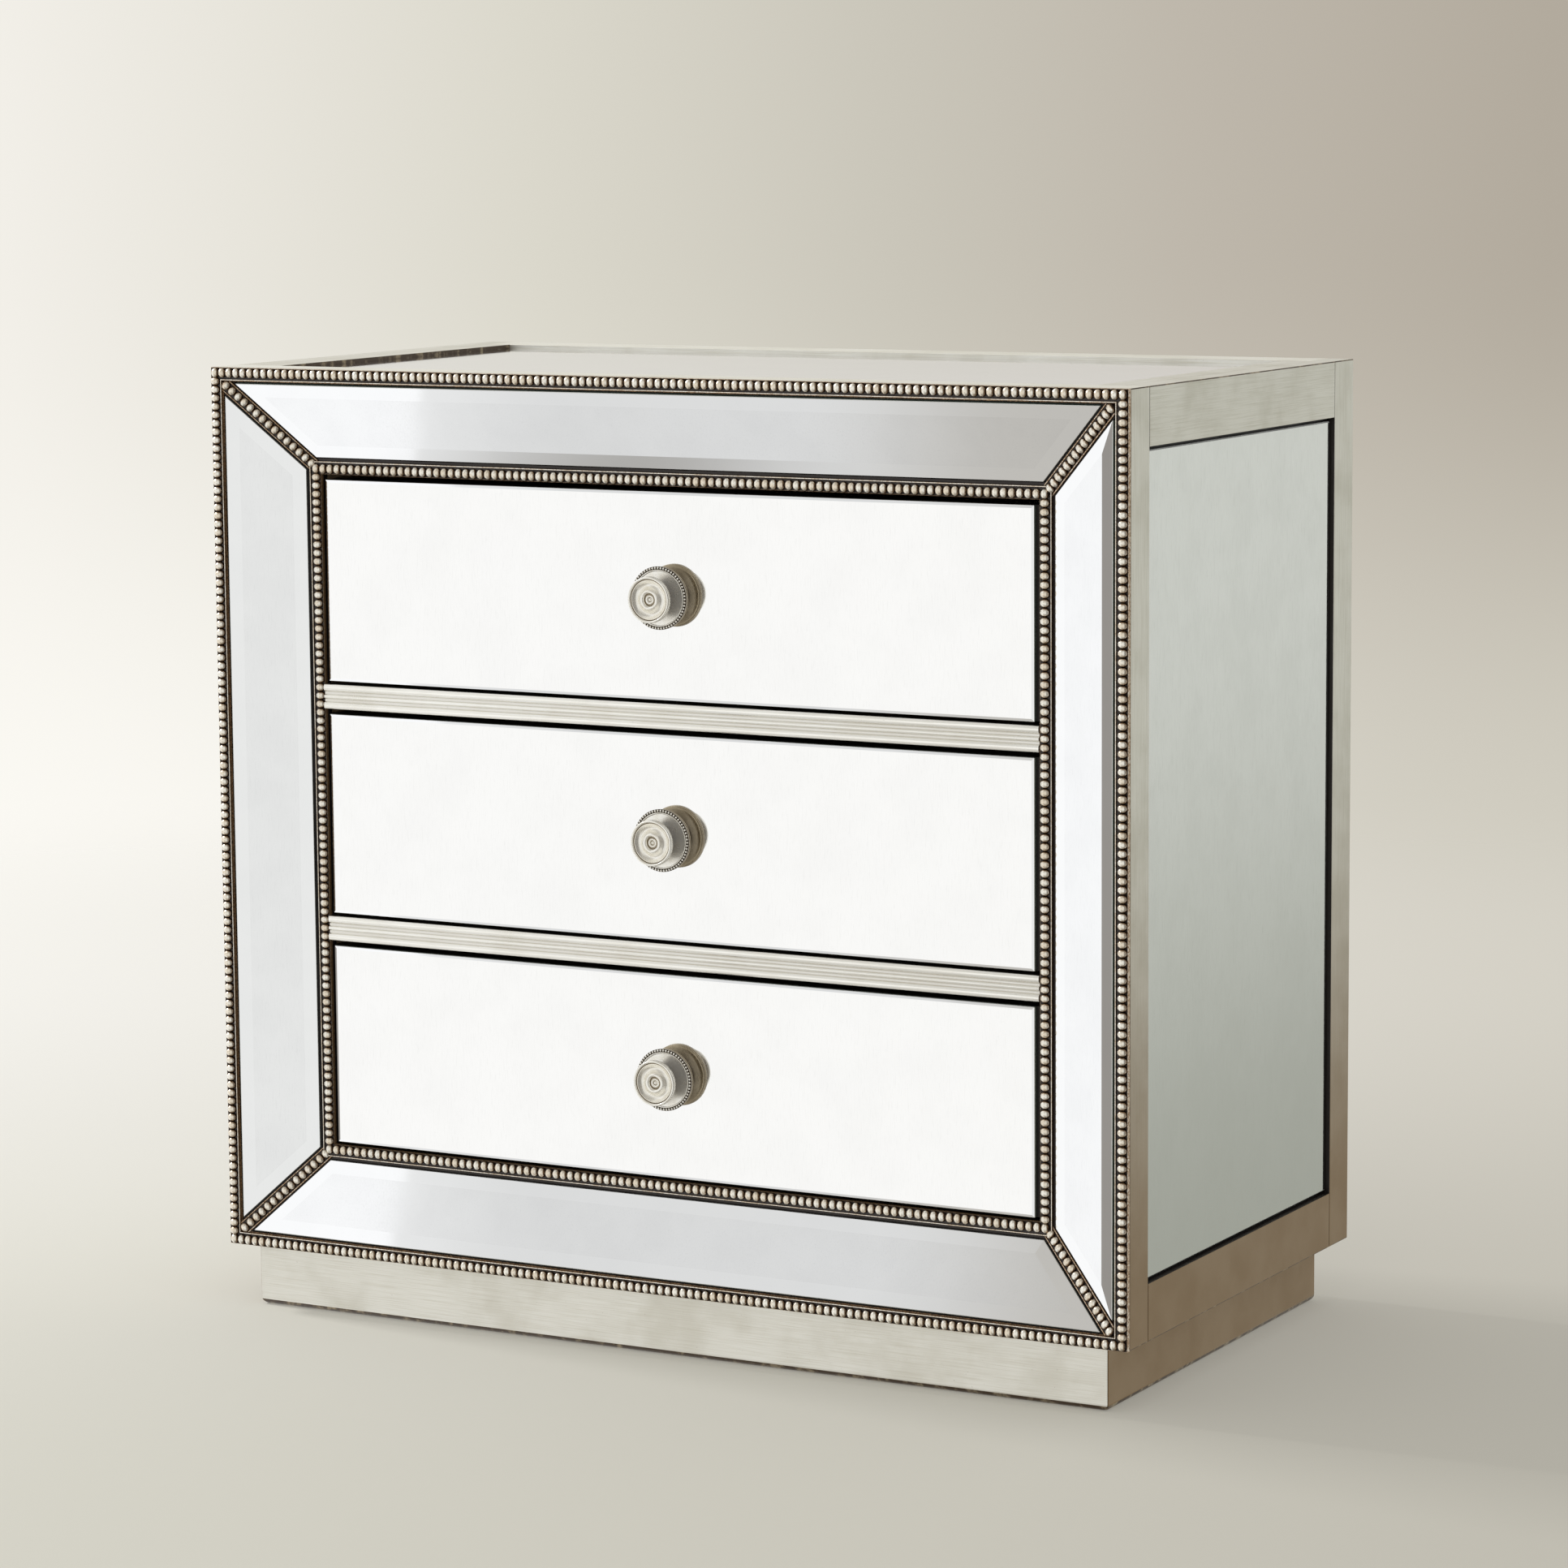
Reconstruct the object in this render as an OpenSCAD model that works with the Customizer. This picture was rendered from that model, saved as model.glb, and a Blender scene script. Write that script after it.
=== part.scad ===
// Mirrored three-drawer nightstand with a sloped, beaded mirror border.
// Millimetres. X runs to the right, Y to the back and Z up.
// The origin is the middle of the footprint, on the floor.
// A depth is measured back from the crowns of the outer beads, the frontmost points.

/* [Case] */
// Width of the case
case_w = 762; // [640:1:1000]
// Depth of the case from the outer bead crowns to the back
case_d = 406; // [340:1:520]
// Height of the case above its plinth
case_h = 676; // [600:1:900]
// Thickness of the side rails and back stiles
side_t = 20; // [18:0.5:26]
// Height of the rail above and below each side mirror
side_rail_h = 42; // [30:1:60]
// Width of the stile at the back of each side
back_stile_w = 36; // [28:1:50]
// Thickness of the board under the top mirror and of the bottom board
board_t = 18; // [15:0.5:22]
// Thickness of the inner walls that carry the drawer runners
wall_t = 16; // [12:0.5:20]
// Distance from the edge of the drawer opening out to each inner wall
wall_set = 1.5; // [0.5:0.1:4]
// Thickness of the back panel
back_t = 6; // [4:0.5:9]
// Thickness of the dust boards between the drawers
dust_t = 12; // [8:0.5:14]

/* [Plinth] */
// Height of the plinth
plinth_h = 48; // [30:1:80]
// Thickness of the plinth boards
plinth_t = 18; // [15:0.5:24]
// Distance from the side of the case in to the plinth
plinth_side_set = 20; // [8:0.5:40]
// Distance from the outer bead crowns back to the plinth
plinth_front_set = 14; // [8:0.5:40]
// Distance from the back of the case in to the plinth
plinth_back_set = 16; // [0:0.5:40]
// Radius of the rounded foot of the plinth boards
plinth_round = 5; // [2:0.5:8]

/* [Top] */
// Width of the rim from each side of the case in to the top mirror
rim_w = 40; // [32:0.5:60]
// Width of the rim behind the top mirror
rim_back_w = 38; // [30:0.5:60]
// Depth of the top mirror below the rim
top_recess = 3; // [2:0.5:8]
// Clearance round the top mirror
top_gap = 0.5; // [0.3:0.1:1.5]

/* [Border] */
// Width of the whole border round the drawers
border_w = 80.5; // [72:0.5:100]
// Distance that the border's inner edge lies behind its outer edge
border_drop = 26; // [12:0.5:28]
// Thickness of the front frame from the outer bead crowns to its back
frame_t = 38; // [36:0.5:50]
// Height of each rail between the drawers
rail_h = 19; // [16:0.5:24]
// Radius of the wide reeds along the top and bottom of a rail
reed_r = 2.7; // [2.5:0.1:3.6]
// Radius of the narrow reed along the middle of a rail
mid_reed_r = 1.5; // [1.2:0.1:2.4]
// Distance from the inner bead crowns back to the crowns of the wide reeds
rail_set = 1; // [0.5:0.1:3.5]

/* [Mouldings] */
// Diameter of a bead
bead_d = 6.2; // [5:0.1:6.2]
// Spacing of the beads, before it is rounded to fill each side
bead_pitch = 6.35; // [6.35:0.05:9]
// Distance from a moulding's bead edge to its line of beads
bead_edge = 4.2; // [3.2:0.1:4.5]
// Thickness of the strip under the beads
strip_t = 3.3; // [2.5:0.1:4]
// Width of the outer moulding
outer_strip_w = 10.5; // [10:0.5:13]
// Width of the inner moulding
inner_strip_w = 12; // [10.5:0.5:14]
// Width of the strip along each mitre
mitre_strip_w = 12; // [9:0.5:14]
// Height that each mitre strip stands above the sloped frame
mitre_strip_t = 4.5; // [4.4:0.1:6]
// Width of the raised fillet beside the beads
fillet_w = 1.2; // [0.6:0.1:1.4]
// Height of the raised fillet
fillet_h = 0.9; // [0.4:0.1:1.5]
// Depth of the channel between the fillet and the mirror
channel_d = 1.6; // [0.6:0.1:2]

/* [Glass] */
// Thickness of every mirror
glass_t = 4; // [3:0.1:4.5]
// Width of the bevel round each border mirror
bevel_w = 10.5; // [5:0.5:14]
// Depth of the bevel at the edge of each border mirror
bevel_h = 1.2; // [0.5:0.1:2]
// Clearance between a border mirror and the mouldings
glass_gap = 0.4; // [0.3:0.1:1]
// Width of the small bevel round each drawer mirror
edge_bevel_w = 2; // [1:0.5:5]
// Depth of the small bevel round each drawer mirror
edge_bevel_h = 0.6; // [0.3:0.1:1.5]

/* [Sides] */
// Depth of a side mirror behind the face of its frame
side_recess = 3; // [2:0.5:4]
// Width of the black gap round a side mirror
side_gap = 2.5; // [1:0.5:5]
// Thickness of the panel behind a side mirror
backing_t = 6; // [4:0.5:7]
// Depth of the groove that holds the backing panel
groove_d = 8; // [5:0.5:10]
// Clearance between the backing panel's edges and the bottom of its groove
groove_play = 0.5; // [0.3:0.1:1]

/* [Drawers] */
// Distance from the inner bead crowns back to the drawer mirrors
drawer_set = 2.4; // [1.5:0.1:8]
// Gap between a drawer and each side of its opening
gap_side = 1.5; // [1:0.1:3]
// Black edge of a drawer front left free at each side of its mirror
mirror_margin = 2.5; // [0:0.5:4]
// Gap above a drawer front
gap_top = 4; // [1.5:0.5:5]
// Gap below a drawer front
gap_bottom = 2.5; // [1:0.5:4]
// Thickness of a drawer's front board
front_t = 18; // [15:0.5:22]
// Thickness of the drawer box's sides and back
box_t = 12; // [9:0.5:15]
// Height of the drawer box
box_h = 115; // [70:1:125]
// Height of the drawer box above the bottom of the drawer front
box_rise = 12; // [8:0.5:18]
// Clearance between the back of a drawer box and the back panel
box_back_gap = 20; // [10:1:60]
// Thickness of the drawer's bottom panel
bottom_t = 6; // [4:0.5:9]
// Height of the bottom panel above the lower edge of the drawer box
bottom_rise = 10; // [6:0.5:14]
// Depth of the groove that holds the bottom panel
bottom_groove = 5; // [3:0.5:6]

/* [Runners] */
// Space between a drawer box and the inner wall
runner_space = 13; // [12:0.5:16]
// Height of the fixed runner channel
runner_h = 31; // [24:1:45]
// Thickness of the runner's sheet steel
runner_wall = 1.5; // [1:0.1:2]
// Depth of the fixed runner channel
runner_depth = 9.5; // [7:0.5:10.5]
// Clearance between the drawer's runner and the channel
runner_play = 0.5; // [0.3:0.1:1]
// Clearance between the drawer front and the channel, and at the channel's ends
runner_end = 2; // [1:0.5:6]
// Height of the runner's middle above the lower edge of the drawer box
runner_rise = 48; // [30:1:50]

/* [Knobs] */
// Projection of a knob from its drawer mirror
knob_len = 28; // [27:0.5:34]
// Distance from a drawer mirror to the circle of tiny beads
knob_disc_h = 12.5; // [11:0.5:13]
// Radius of the dished face
knob_face_r = 17; // [15:0.5:20]
// Radius of the circle that the tiny beads stand on
knob_disc_r = 22; // [21:0.1:23]
// Radius of the base plate
knob_base_r = 15.5; // [12:0.5:18]
// Radius of the waist between the two discs
knob_neck_r = 5.8; // [5:0.1:7]
// Diameter of the tiny beads
knob_bead_d = 2.1; // [1.6:0.1:2.1]
// Number of tiny beads round a knob
knob_beads = 60; // [40:1:60]
// Radius of the screw that holds a knob
screw_r = 2; // [1.5:0.1:2.5]
// Radial clearance of the screw in the drawer front and mirror
screw_play = 0.5; // [0.3:0.1:1]
// Radial clearance of the screw in the knob's thread
thread_play = 0.05; // [0.03:0.01:0.1]
// Length of screw inside the knob
screw_grip = 9; // [6:0.5:11]
// Radius of the screw's head
screw_head_r = 4; // [3.5:0.1:6]
// Height of the screw's head
screw_head_h = 2.6; // [1.5:0.1:4]

/* [Hidden] */
$fn = 48;
eps = 0.01;
drawer_count = 3;
DRAWERS = [1 : drawer_count];
DRAWER_PIECES = ["front", "mirror", "sides", "back", "bottom", "runners", "knob", "knob_screw"];

// Colours
leaf = [0.76, 0.75, 0.69];
bead_leaf = [0.86, 0.82, 0.74];
mirror_glass = [0.84, 0.87, 0.88];
black = [0.07, 0.06, 0.06];
bare_wood = [0.72, 0.58, 0.42];
steel = [0.62, 0.63, 0.65];
knob_metal = [0.80, 0.77, 0.71];

// Planes of the case
x_out = case_w / 2;
x_in = x_out - side_t;
y_front = -case_d / 2;
y_back = case_d / 2;
y_frame = y_front + frame_t;
y_panel = y_back - back_t;
z_case = plinth_h;
z_top = plinth_h + case_h;
z_mid = plinth_h + case_h / 2;
x_groove = x_out - side_recess - glass_t;

// Outer faces of the plinth
x_plinth = x_out - plinth_side_set;
y_plinth = y_front + plinth_front_set;
y_plinth_end = y_back - plinth_back_set;

// Planes of the top
z_rim = z_top - top_recess - glass_t;
z_board = z_rim - board_t;
y_rim_back = y_back - rim_back_w;

// The border, in distances in from the edge and depths back from the front
seat = bead_d / 2 + strip_t;
inner_seat = seat + border_drop;
slope_w = border_w - outer_strip_w - inner_strip_w;
slope_angle = atan(border_drop / slope_w);
mirror_cut = (mitre_strip_w / 2 + glass_gap) * sqrt(2) + glass_t * sin(slope_angle);

// The drawer opening and its three cells
x_open = x_out - border_w;
z_open = z_case + border_w;
cell_h = (case_h - 2 * border_w - (drawer_count - 1) * rail_h) / drawer_count;
x_wall = x_open + wall_set;

// The drawers
y_mirror = y_front + border_drop + drawer_set;
y_board = y_mirror + glass_t;
y_box = y_board + front_t;
y_box_end = y_panel - box_back_gap;
x_front = x_open - gap_side;
x_pane = x_front - mirror_margin;
front_h = cell_h - gap_top - gap_bottom;
x_box = x_wall - runner_space;
x_channel = x_wall - runner_depth;
y_runner = y_box + runner_end;
y_runner_end = y_box_end - runner_end;
rail_t = frame_t - border_drop - rail_set - reed_r;

function cell_z(k) = z_open + (drawer_count - k) * (cell_h + rail_h);
function front_z(k) = cell_z(k) + gap_bottom;
function box_z(k) = front_z(k) + box_rise;
function runner_z(k) = box_z(k) + runner_rise;

// A box between two opposite corners
module block(low, high) {
    translate(low) cube(high - low);
}

// Copies a shape to the other side of the case
module both_sides() {
    children();
    mirror([1, 0, 0]) children();
}

// The sides of the border are numbered clockwise from the front: 0 top, 1 right, 2 bottom, 3 left.
function side_len(side) = side % 2 == 0 ? case_w : case_h;
function side_reach(side) = side % 2 == 0 ? case_h / 2 : case_w / 2;

// Stands the top side's drawing on another side
module on_side(side) {
    translate([0, y_front, z_mid]) rotate([0, side * 90, 0]) children();
}

// Extrudes an outline of distance in from the edge against depth along one whole side
module run(side) {
    len = side_len(side);
    translate([-len / 2, 0, side_reach(side)]) rotate([0, 90, 0]) linear_extrude(len) children();
}

// Front view of one side of the border, cut at 45 degrees where it meets its neighbours
module mitre_wedge(side) {
    half = side_len(side) / 2;
    reach = side_reach(side);
    translate([0, frame_t + eps, 0]) rotate([90, 0, 0]) linear_extrude(frame_t + 2 * eps)
        polygon([
            [-half, reach], [half, reach],
            [half - border_w, reach - border_w], [border_w - half, reach - border_w]
        ]);
}

// Keeps what lies between the mitres of one side
module mitred(side) {
    on_side(side) intersection() {
        union() children();
        mitre_wedge(side);
    }
}

// One mitred board of the front frame, sloped between two flat seats for the mouldings
module frame_board(side) {
    mitred(side) run(side) polygon([
        [0, seat], [outer_strip_w, seat], [outer_strip_w + slope_w, inner_seat],
        [border_w, inner_seat], [border_w, frame_t], [0, frame_t]
    ]);
}

// Groove in the back of a front frame's upright, or in a stile or rail, for a backing panel
module groove() {
    block([x_groove - backing_t, y_frame - groove_d, z_case + side_rail_h - groove_d],
          [x_groove, y_back - back_stile_w + groove_d, z_top - side_rail_h + groove_d]);
}

module front_frame_top() {
    color(leaf) frame_board(0);
}

module front_frame_right() {
    color(leaf) difference() {
        frame_board(1);
        groove();
    }
}

module front_frame_bottom() {
    color(leaf) frame_board(2);
}

module front_frame_left() {
    color(leaf) difference() {
        frame_board(3);
        mirror([1, 0, 0]) groove();
    }
}

// Half the width, at a distance v up a trapezoid, of its outline drawn in by w
function inset_half(low, high, h, v, w) =
    low - (low - high) * v / h - w * sqrt(1 + pow((low - high) / h, 2));

// A bevelled pane, symmetrical about Y, from half width low at y = 0 to half width high at y = h
module bevelled_pane(low, high, h, w, drop) {
    in_low = inset_half(low, high, h, w, w);
    in_high = inset_half(low, high, h, h - w, w);
    hull() {
        linear_extrude(glass_t - drop) polygon([[-low, 0], [low, 0], [high, h], [-high, h]]);
        linear_extrude(glass_t) polygon([[-in_low, w], [in_low, w], [in_high, h - w], [-in_high, h - w]]);
    }
}

// One bevelled mirror on the slope of the border
module border_mirror(side) {
    start = glass_gap;
    end = slope_w - glass_gap - glass_t * sin(slope_angle);
    half = side_len(side) / 2 - outer_strip_w - mirror_cut;
    color(mirror_glass) on_side(side)
        translate([0, seat, side_reach(side) - outer_strip_w]) rotate([slope_angle - 90, 0, 0])
            translate([0, start / cos(slope_angle), 0]) mirror([0, 0, 1])
                bevelled_pane(half - start, half - end, (end - start) / cos(slope_angle), bevel_w, bevel_h);
}

// Outline of a moulding, from its bead edge across the fillet and the channel
function moulding_outline(width) = [
    [0, bead_d / 2], [2 * bead_edge, bead_d / 2], [2 * bead_edge, bead_d / 2 - fillet_h],
    [2 * bead_edge + fillet_w, bead_d / 2 - fillet_h], [2 * bead_edge + fillet_w, bead_d / 2 + channel_d],
    [width, bead_d / 2 + channel_d], [width, seat], [0, seat]
];

// A line of beads from corner to corner of one side, a set distance in from the edge
module bead_line(side, inset, depth) {
    len = side_len(side) - 2 * inset;
    count = round(len / bead_pitch);
    for (i = [0 : count])
        translate([-len / 2 + i * len / count, depth, side_reach(side) - inset]) sphere(d = bead_d);
}

// The outer moulding has its beads along the edge of the case
module outer_moulding(side) {
    mitred(side) {
        run(side) polygon(moulding_outline(outer_strip_w));
        bead_line(side, bead_edge, bead_d / 2);
    }
}

// The inner moulding has its beads along the drawer opening
module inner_moulding(side) {
    mitred(side) {
        run(side) polygon([
            for (p = moulding_outline(inner_strip_w)) [border_w - p[0], p[1] + border_drop]
        ]);
        bead_line(side, border_w - bead_edge, bead_d / 2 + border_drop);
    }
}

module outer_bead_rows() {
    color(bead_leaf) for (side = [0, 2]) outer_moulding(side);
}

module outer_bead_columns() {
    color(bead_leaf) for (side = [1, 3]) outer_moulding(side);
}

module inner_bead_rows() {
    color(bead_leaf) for (side = [0, 2]) inner_moulding(side);
}

module inner_bead_columns() {
    color(bead_leaf) for (side = [1, 3]) inner_moulding(side);
}

// Half of a mitre strip: the part that lies on one side's slope, next to the mitre at its far end
module mitre_half(side) {
    half = side_len(side) / 2;
    reach = side_reach(side);
    slant = mitre_strip_w / sqrt(2);
    near = outer_strip_w;
    far = outer_strip_w + slope_w;
    intersection() {
        run(side) polygon([
            [near, seat], [far, inner_seat], [far, inner_seat - mitre_strip_t], [near, seat - mitre_strip_t]
        ]);
        translate([0, frame_t, 0]) rotate([90, 0, 0]) linear_extrude(frame_t) polygon([
            [half - near, reach - near], [half - far, reach - far],
            [half - far - slant, reach - far], [half - near - slant, reach - near]
        ]);
    }
}

// A mitre strip runs down the valley between two sides, with beads along its middle
module mitre_strip(side) {
    half = side_len(side) / 2;
    reach = side_reach(side);
    near = outer_strip_w + bead_d / 2;
    far = outer_strip_w + slope_w - bead_d / 2;
    fall = border_drop / slope_w;
    count = round((far - near) * sqrt(2 + fall * fall) / bead_pitch);
    on_side(side) {
        mitre_half(side);
        for (i = [0 : count]) {
            inset = near + i * (far - near) / count;
            translate([half - inset, seat - mitre_strip_t + (inset - outer_strip_w) * fall, reach - inset])
                sphere(d = bead_d);
        }
    }
    on_side(side + 1) mirror([1, 0, 0]) mitre_half(side + 1);
}

module mitre_beads() {
    color(bead_leaf) for (side = [0 : 3]) mitre_strip(side);
}

// Section of a plinth board, with its outer face at 0 and its lower outer edge rounded
module plinth_section() {
    translate([plinth_round, 0]) square([plinth_t - plinth_round, plinth_h]);
    translate([0, plinth_round]) square([plinth_t, plinth_h - plinth_round]);
    translate([plinth_round, plinth_round]) circle(r = plinth_round);
}

// A plinth board with its outer face at y = 0, mitred to its neighbours at both ends
module plinth_board(len) {
    half = len / 2;
    intersection() {
        translate([-half, 0, 0]) rotate([90, 0, 90]) linear_extrude(len) plinth_section();
        linear_extrude(plinth_h)
            polygon([[-half, 0], [half, 0], [half - plinth_t, plinth_t], [plinth_t - half, plinth_t]]);
    }
}

module plinth_front() {
    color(leaf) translate([0, y_plinth, 0]) plinth_board(2 * x_plinth);
}

module plinth_back() {
    color(leaf) translate([0, y_plinth_end, 0]) rotate([0, 0, 180]) plinth_board(2 * x_plinth);
}

module plinth_sides() {
    color(leaf) both_sides() translate([x_plinth, (y_plinth + y_plinth_end) / 2, 0]) rotate([0, 0, 90])
        plinth_board(y_plinth_end - y_plinth);
}

module bottom_board() {
    color(black) block([-x_in, y_frame, z_case], [x_in, y_panel, z_case + board_t]);
}

module back_panel() {
    color(black) block([-x_in, y_panel, z_case], [x_in, y_back, z_rim]);
}

// The rails above and below a side mirror, grooved for the backing panel
module side_rails() {
    y_end = y_back - back_stile_w;
    difference() {
        union() {
            block([x_in, y_frame, z_case], [x_out, y_end, z_case + side_rail_h]);
            block([x_in, y_frame, z_top - side_rail_h], [x_out, y_end, z_top]);
        }
        groove();
    }
}

module side_back_stile() {
    difference() {
        block([x_in, y_back - back_stile_w, z_case], [x_out, y_back, z_top]);
        groove();
    }
}

// Black panel behind a side mirror, held in the groove on all four edges
module side_backing() {
    tongue = groove_d - groove_play;
    block([x_groove - backing_t, y_frame - tongue, z_case + side_rail_h - tongue],
          [x_groove, y_back - back_stile_w + tongue, z_top - side_rail_h + tongue]);
}

// Side mirror, smaller than its opening so that a black gap shows round it
module side_mirror() {
    block([x_groove, y_frame + side_gap, z_case + side_rail_h + side_gap],
          [x_groove + glass_t, y_back - back_stile_w - side_gap, z_top - side_rail_h - side_gap]);
}

module left_rails() {
    color(leaf) mirror([1, 0, 0]) side_rails();
}

module left_back_stile() {
    color(leaf) mirror([1, 0, 0]) side_back_stile();
}

module left_backing() {
    color(black) mirror([1, 0, 0]) side_backing();
}

module left_mirror() {
    color(mirror_glass) mirror([1, 0, 0]) side_mirror();
}

module right_rails() {
    color(leaf) side_rails();
}

module right_back_stile() {
    color(leaf) side_back_stile();
}

module right_backing() {
    color(black) side_backing();
}

module right_mirror() {
    color(mirror_glass) side_mirror();
}

module top_board() {
    color(black) block([-x_in, y_frame, z_board], [x_in, y_panel, z_rim]);
}

module top_rim_ends() {
    color(leaf) both_sides() block([x_out - rim_w, y_frame, z_rim], [x_in, y_rim_back, z_top]);
}

module top_rim_back() {
    color(leaf) block([-x_in, y_rim_back, z_rim], [x_in, y_back, z_top]);
}

module top_mirror() {
    x = x_out - rim_w - top_gap;
    color(mirror_glass)
        block([-x, y_frame + top_gap, z_rim], [x, y_rim_back - top_gap, z_rim + glass_t]);
}

// Reeded rail below drawer k
module reeded_rail(k) {
    z = cell_z(k) - rail_h;
    y = y_frame - rail_t;
    color(leaf) {
        block([-x_open, y, z], [x_open, y_frame, z + rail_h]);
        for (reed = [[reed_r, reed_r], [rail_h / 2, mid_reed_r], [rail_h - reed_r, reed_r]])
            translate([-x_open, y, z + reed[0]]) rotate([0, 90, 0]) cylinder(r = reed[1], h = 2 * x_open);
    }
}

module upper_rail() {
    reeded_rail(1);
}

module lower_rail() {
    reeded_rail(2);
}

// Dust board behind the rail below drawer k
module dust_board(k) {
    z = cell_z(k) - (rail_h + dust_t) / 2;
    color(bare_wood) block([-x_wall, y_frame, z], [x_wall, y_panel, z + dust_t]);
}

module upper_dust_board() {
    dust_board(1);
}

module lower_dust_board() {
    dust_board(2);
}

module inner_walls() {
    color(bare_wood) both_sides()
        block([x_wall, y_frame, z_case + board_t], [x_wall + wall_t, y_panel, z_board]);
}

// Fixed channel, screwed to the inner wall and open towards the drawer
module channel(k) {
    z = runner_z(k);
    difference() {
        block([x_channel, y_runner, z - runner_h / 2], [x_wall, y_runner_end, z + runner_h / 2]);
        block([x_channel - eps, y_runner - eps, z - runner_h / 2 + runner_wall],
              [x_wall - runner_wall, y_runner_end + eps, z + runner_h / 2 - runner_wall]);
    }
}

module runner_channels() {
    color(steel) for (k = DRAWERS) both_sides() channel(k);
}

// Drawer pieces, for drawer k counted from the top
module drawer_front(k) {
    z = front_z(k);
    color(black) difference() {
        block([-x_front, y_board, z], [x_front, y_box, z + front_h]);
        knob_axis(k) cylinder(r = screw_r + screw_play, h = 2 * (glass_t + front_t), center = true);
    }
}

module drawer_mirror(k) {
    color(mirror_glass) difference() {
        translate([0, y_board, front_z(k)]) rotate([90, 0, 0])
            bevelled_pane(x_pane, x_pane, front_h, edge_bevel_w, edge_bevel_h);
        knob_axis(k) cylinder(r = screw_r + screw_play, h = 4 * glass_t, center = true);
    }
}

module drawer_sides(k) {
    z = box_z(k);
    groove_z = z + bottom_rise;
    color(bare_wood) both_sides() difference() {
        block([x_box - box_t, y_box, z], [x_box, y_box_end, z + box_h]);
        block([x_box - box_t - eps, y_box - eps, groove_z],
              [x_box - box_t + bottom_groove, y_box_end + eps, groove_z + bottom_t]);
    }
}

module drawer_back(k) {
    x = x_box - box_t;
    color(bare_wood) block([-x, y_box_end - box_t, box_z(k) + bottom_rise + bottom_t],
                           [x, y_box_end, box_z(k) + box_h]);
}

module drawer_bottom(k) {
    x = x_box - box_t + bottom_groove;
    z = box_z(k) + bottom_rise;
    color(bare_wood) block([-x, y_box, z], [x, y_box_end, z + bottom_t]);
}

// Bars on the drawer box that slide inside the fixed channels
module drawer_runners(k) {
    half = runner_h / 2 - runner_wall - runner_play;
    z = runner_z(k);
    color(steel) both_sides()
        block([x_box, y_runner, z - half], [x_wall - runner_wall - runner_play, y_runner_end, z + half]);
}

// Puts a shape on the axis of drawer k's knob, with +Z pointing out of the mirror
module knob_axis(k) {
    translate([0, y_mirror, front_z(k) + front_h / 2]) rotate([90, 0, 0]) children();
}

// Points of an arc from angle a to angle b
function arc(centre, r, a, b, steps) =
    [for (i = [0 : steps]) centre + r * [cos(a + (b - a) * i / steps), sin(a + (b - a) * i / steps)]];

// Heights on the knob, out from the mirror
plate_h = 2;
roll_h = knob_disc_h - 3.3;
collar_h = knob_disc_h + 3.2;
waist_h = knob_disc_h + 6.5;
lip_h = knob_len - 4;
dish_h = knob_len - 4.2;
ring_h = knob_len - 2.4;
button_h = knob_len - 3.4;

// Radii of the knob's small curves, the place of the ring in its dish, and the width of its small flats
roll_r = 1.5;
collar_r = 1.2;
waist_r = 3;
rim_r = 0.9;
ring_r = 1.3;
ring_at = 5.7;
button_r = 2.4;
knob_flat = 0.6;

// Half the width of the seat under the tiny beads
bead_seat = 0.55 * knob_bead_d;

// Points of a hollow that sweeps from one point to another, without its ends
function sweep(from, to, bend, steps) =
    [for (i = [1 : steps - 1]) [
        from[0] + (to[0] - from[0]) * pow(i / steps, bend[0]),
        from[1] + (to[1] - from[1]) * pow(i / steps, bend[1])
    ]];

// Points of the dish in the face, from radius a to radius b
function dish(a, b, top, steps) =
    [for (i = [1 : steps - 1]) [a + (b - a) * i / steps, top - (top - dish_h) * sin(180 * i / steps)]];

// Half outline of a knob: radius against height, from the base plate to the button on the face
function knob_outline() = concat(
    [[0, 0], [knob_base_r, 0], [knob_base_r, plate_h - knob_flat], [knob_base_r - knob_flat, plate_h]],
    [[knob_base_r - 3 * knob_flat, plate_h]],
    sweep([knob_base_r - 3 * knob_flat, plate_h],
          [knob_disc_r - 2 * knob_flat, roll_h - roll_r], [2, 1], 6),
    arc([knob_disc_r - knob_flat, roll_h], roll_r, -80, 80, 6),
    [[knob_disc_r + knob_flat, knob_disc_h - 3 * knob_flat]],
    [[knob_disc_r + bead_seat, knob_disc_h - 2 * knob_flat]],
    [[knob_disc_r + bead_seat, knob_disc_h], [knob_disc_r - bead_seat, knob_disc_h]],
    [[knob_disc_r - bead_seat, knob_disc_h + knob_flat]],
    [[knob_disc_r - bead_seat - knob_flat, knob_disc_h + knob_flat]],
    sweep([knob_disc_r - bead_seat - 2 * knob_flat, knob_disc_h],
          [knob_neck_r + 2 * collar_r, collar_h - collar_r], [1, 2], 8),
    arc([knob_neck_r + collar_r, collar_h], collar_r, -80, 80, 5),
    arc([knob_neck_r + waist_r, waist_h], waist_r, 220, 140, 5),
    sweep([knob_neck_r + knob_flat, waist_h + 0.8 * waist_r],
          [knob_face_r - 2 * knob_flat, lip_h - knob_flat], [1.5, 1], 6),
    [[knob_face_r - knob_flat, lip_h], [knob_face_r, lip_h + knob_flat]],
    arc([knob_face_r - rim_r, knob_len - rim_r], rim_r, 0, 180, 6),
    dish(knob_face_r - 2 * rim_r - knob_flat, ring_at + ring_r, knob_len - 2 * knob_flat, 8),
    arc([ring_at, ring_h], ring_r, 10, 170, 5),
    [[ring_at - ring_r - knob_flat, ring_h - knob_flat], [button_r, ring_h - knob_flat]],
    arc([0, button_h], button_r, 25, 90, 5)
);

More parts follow.
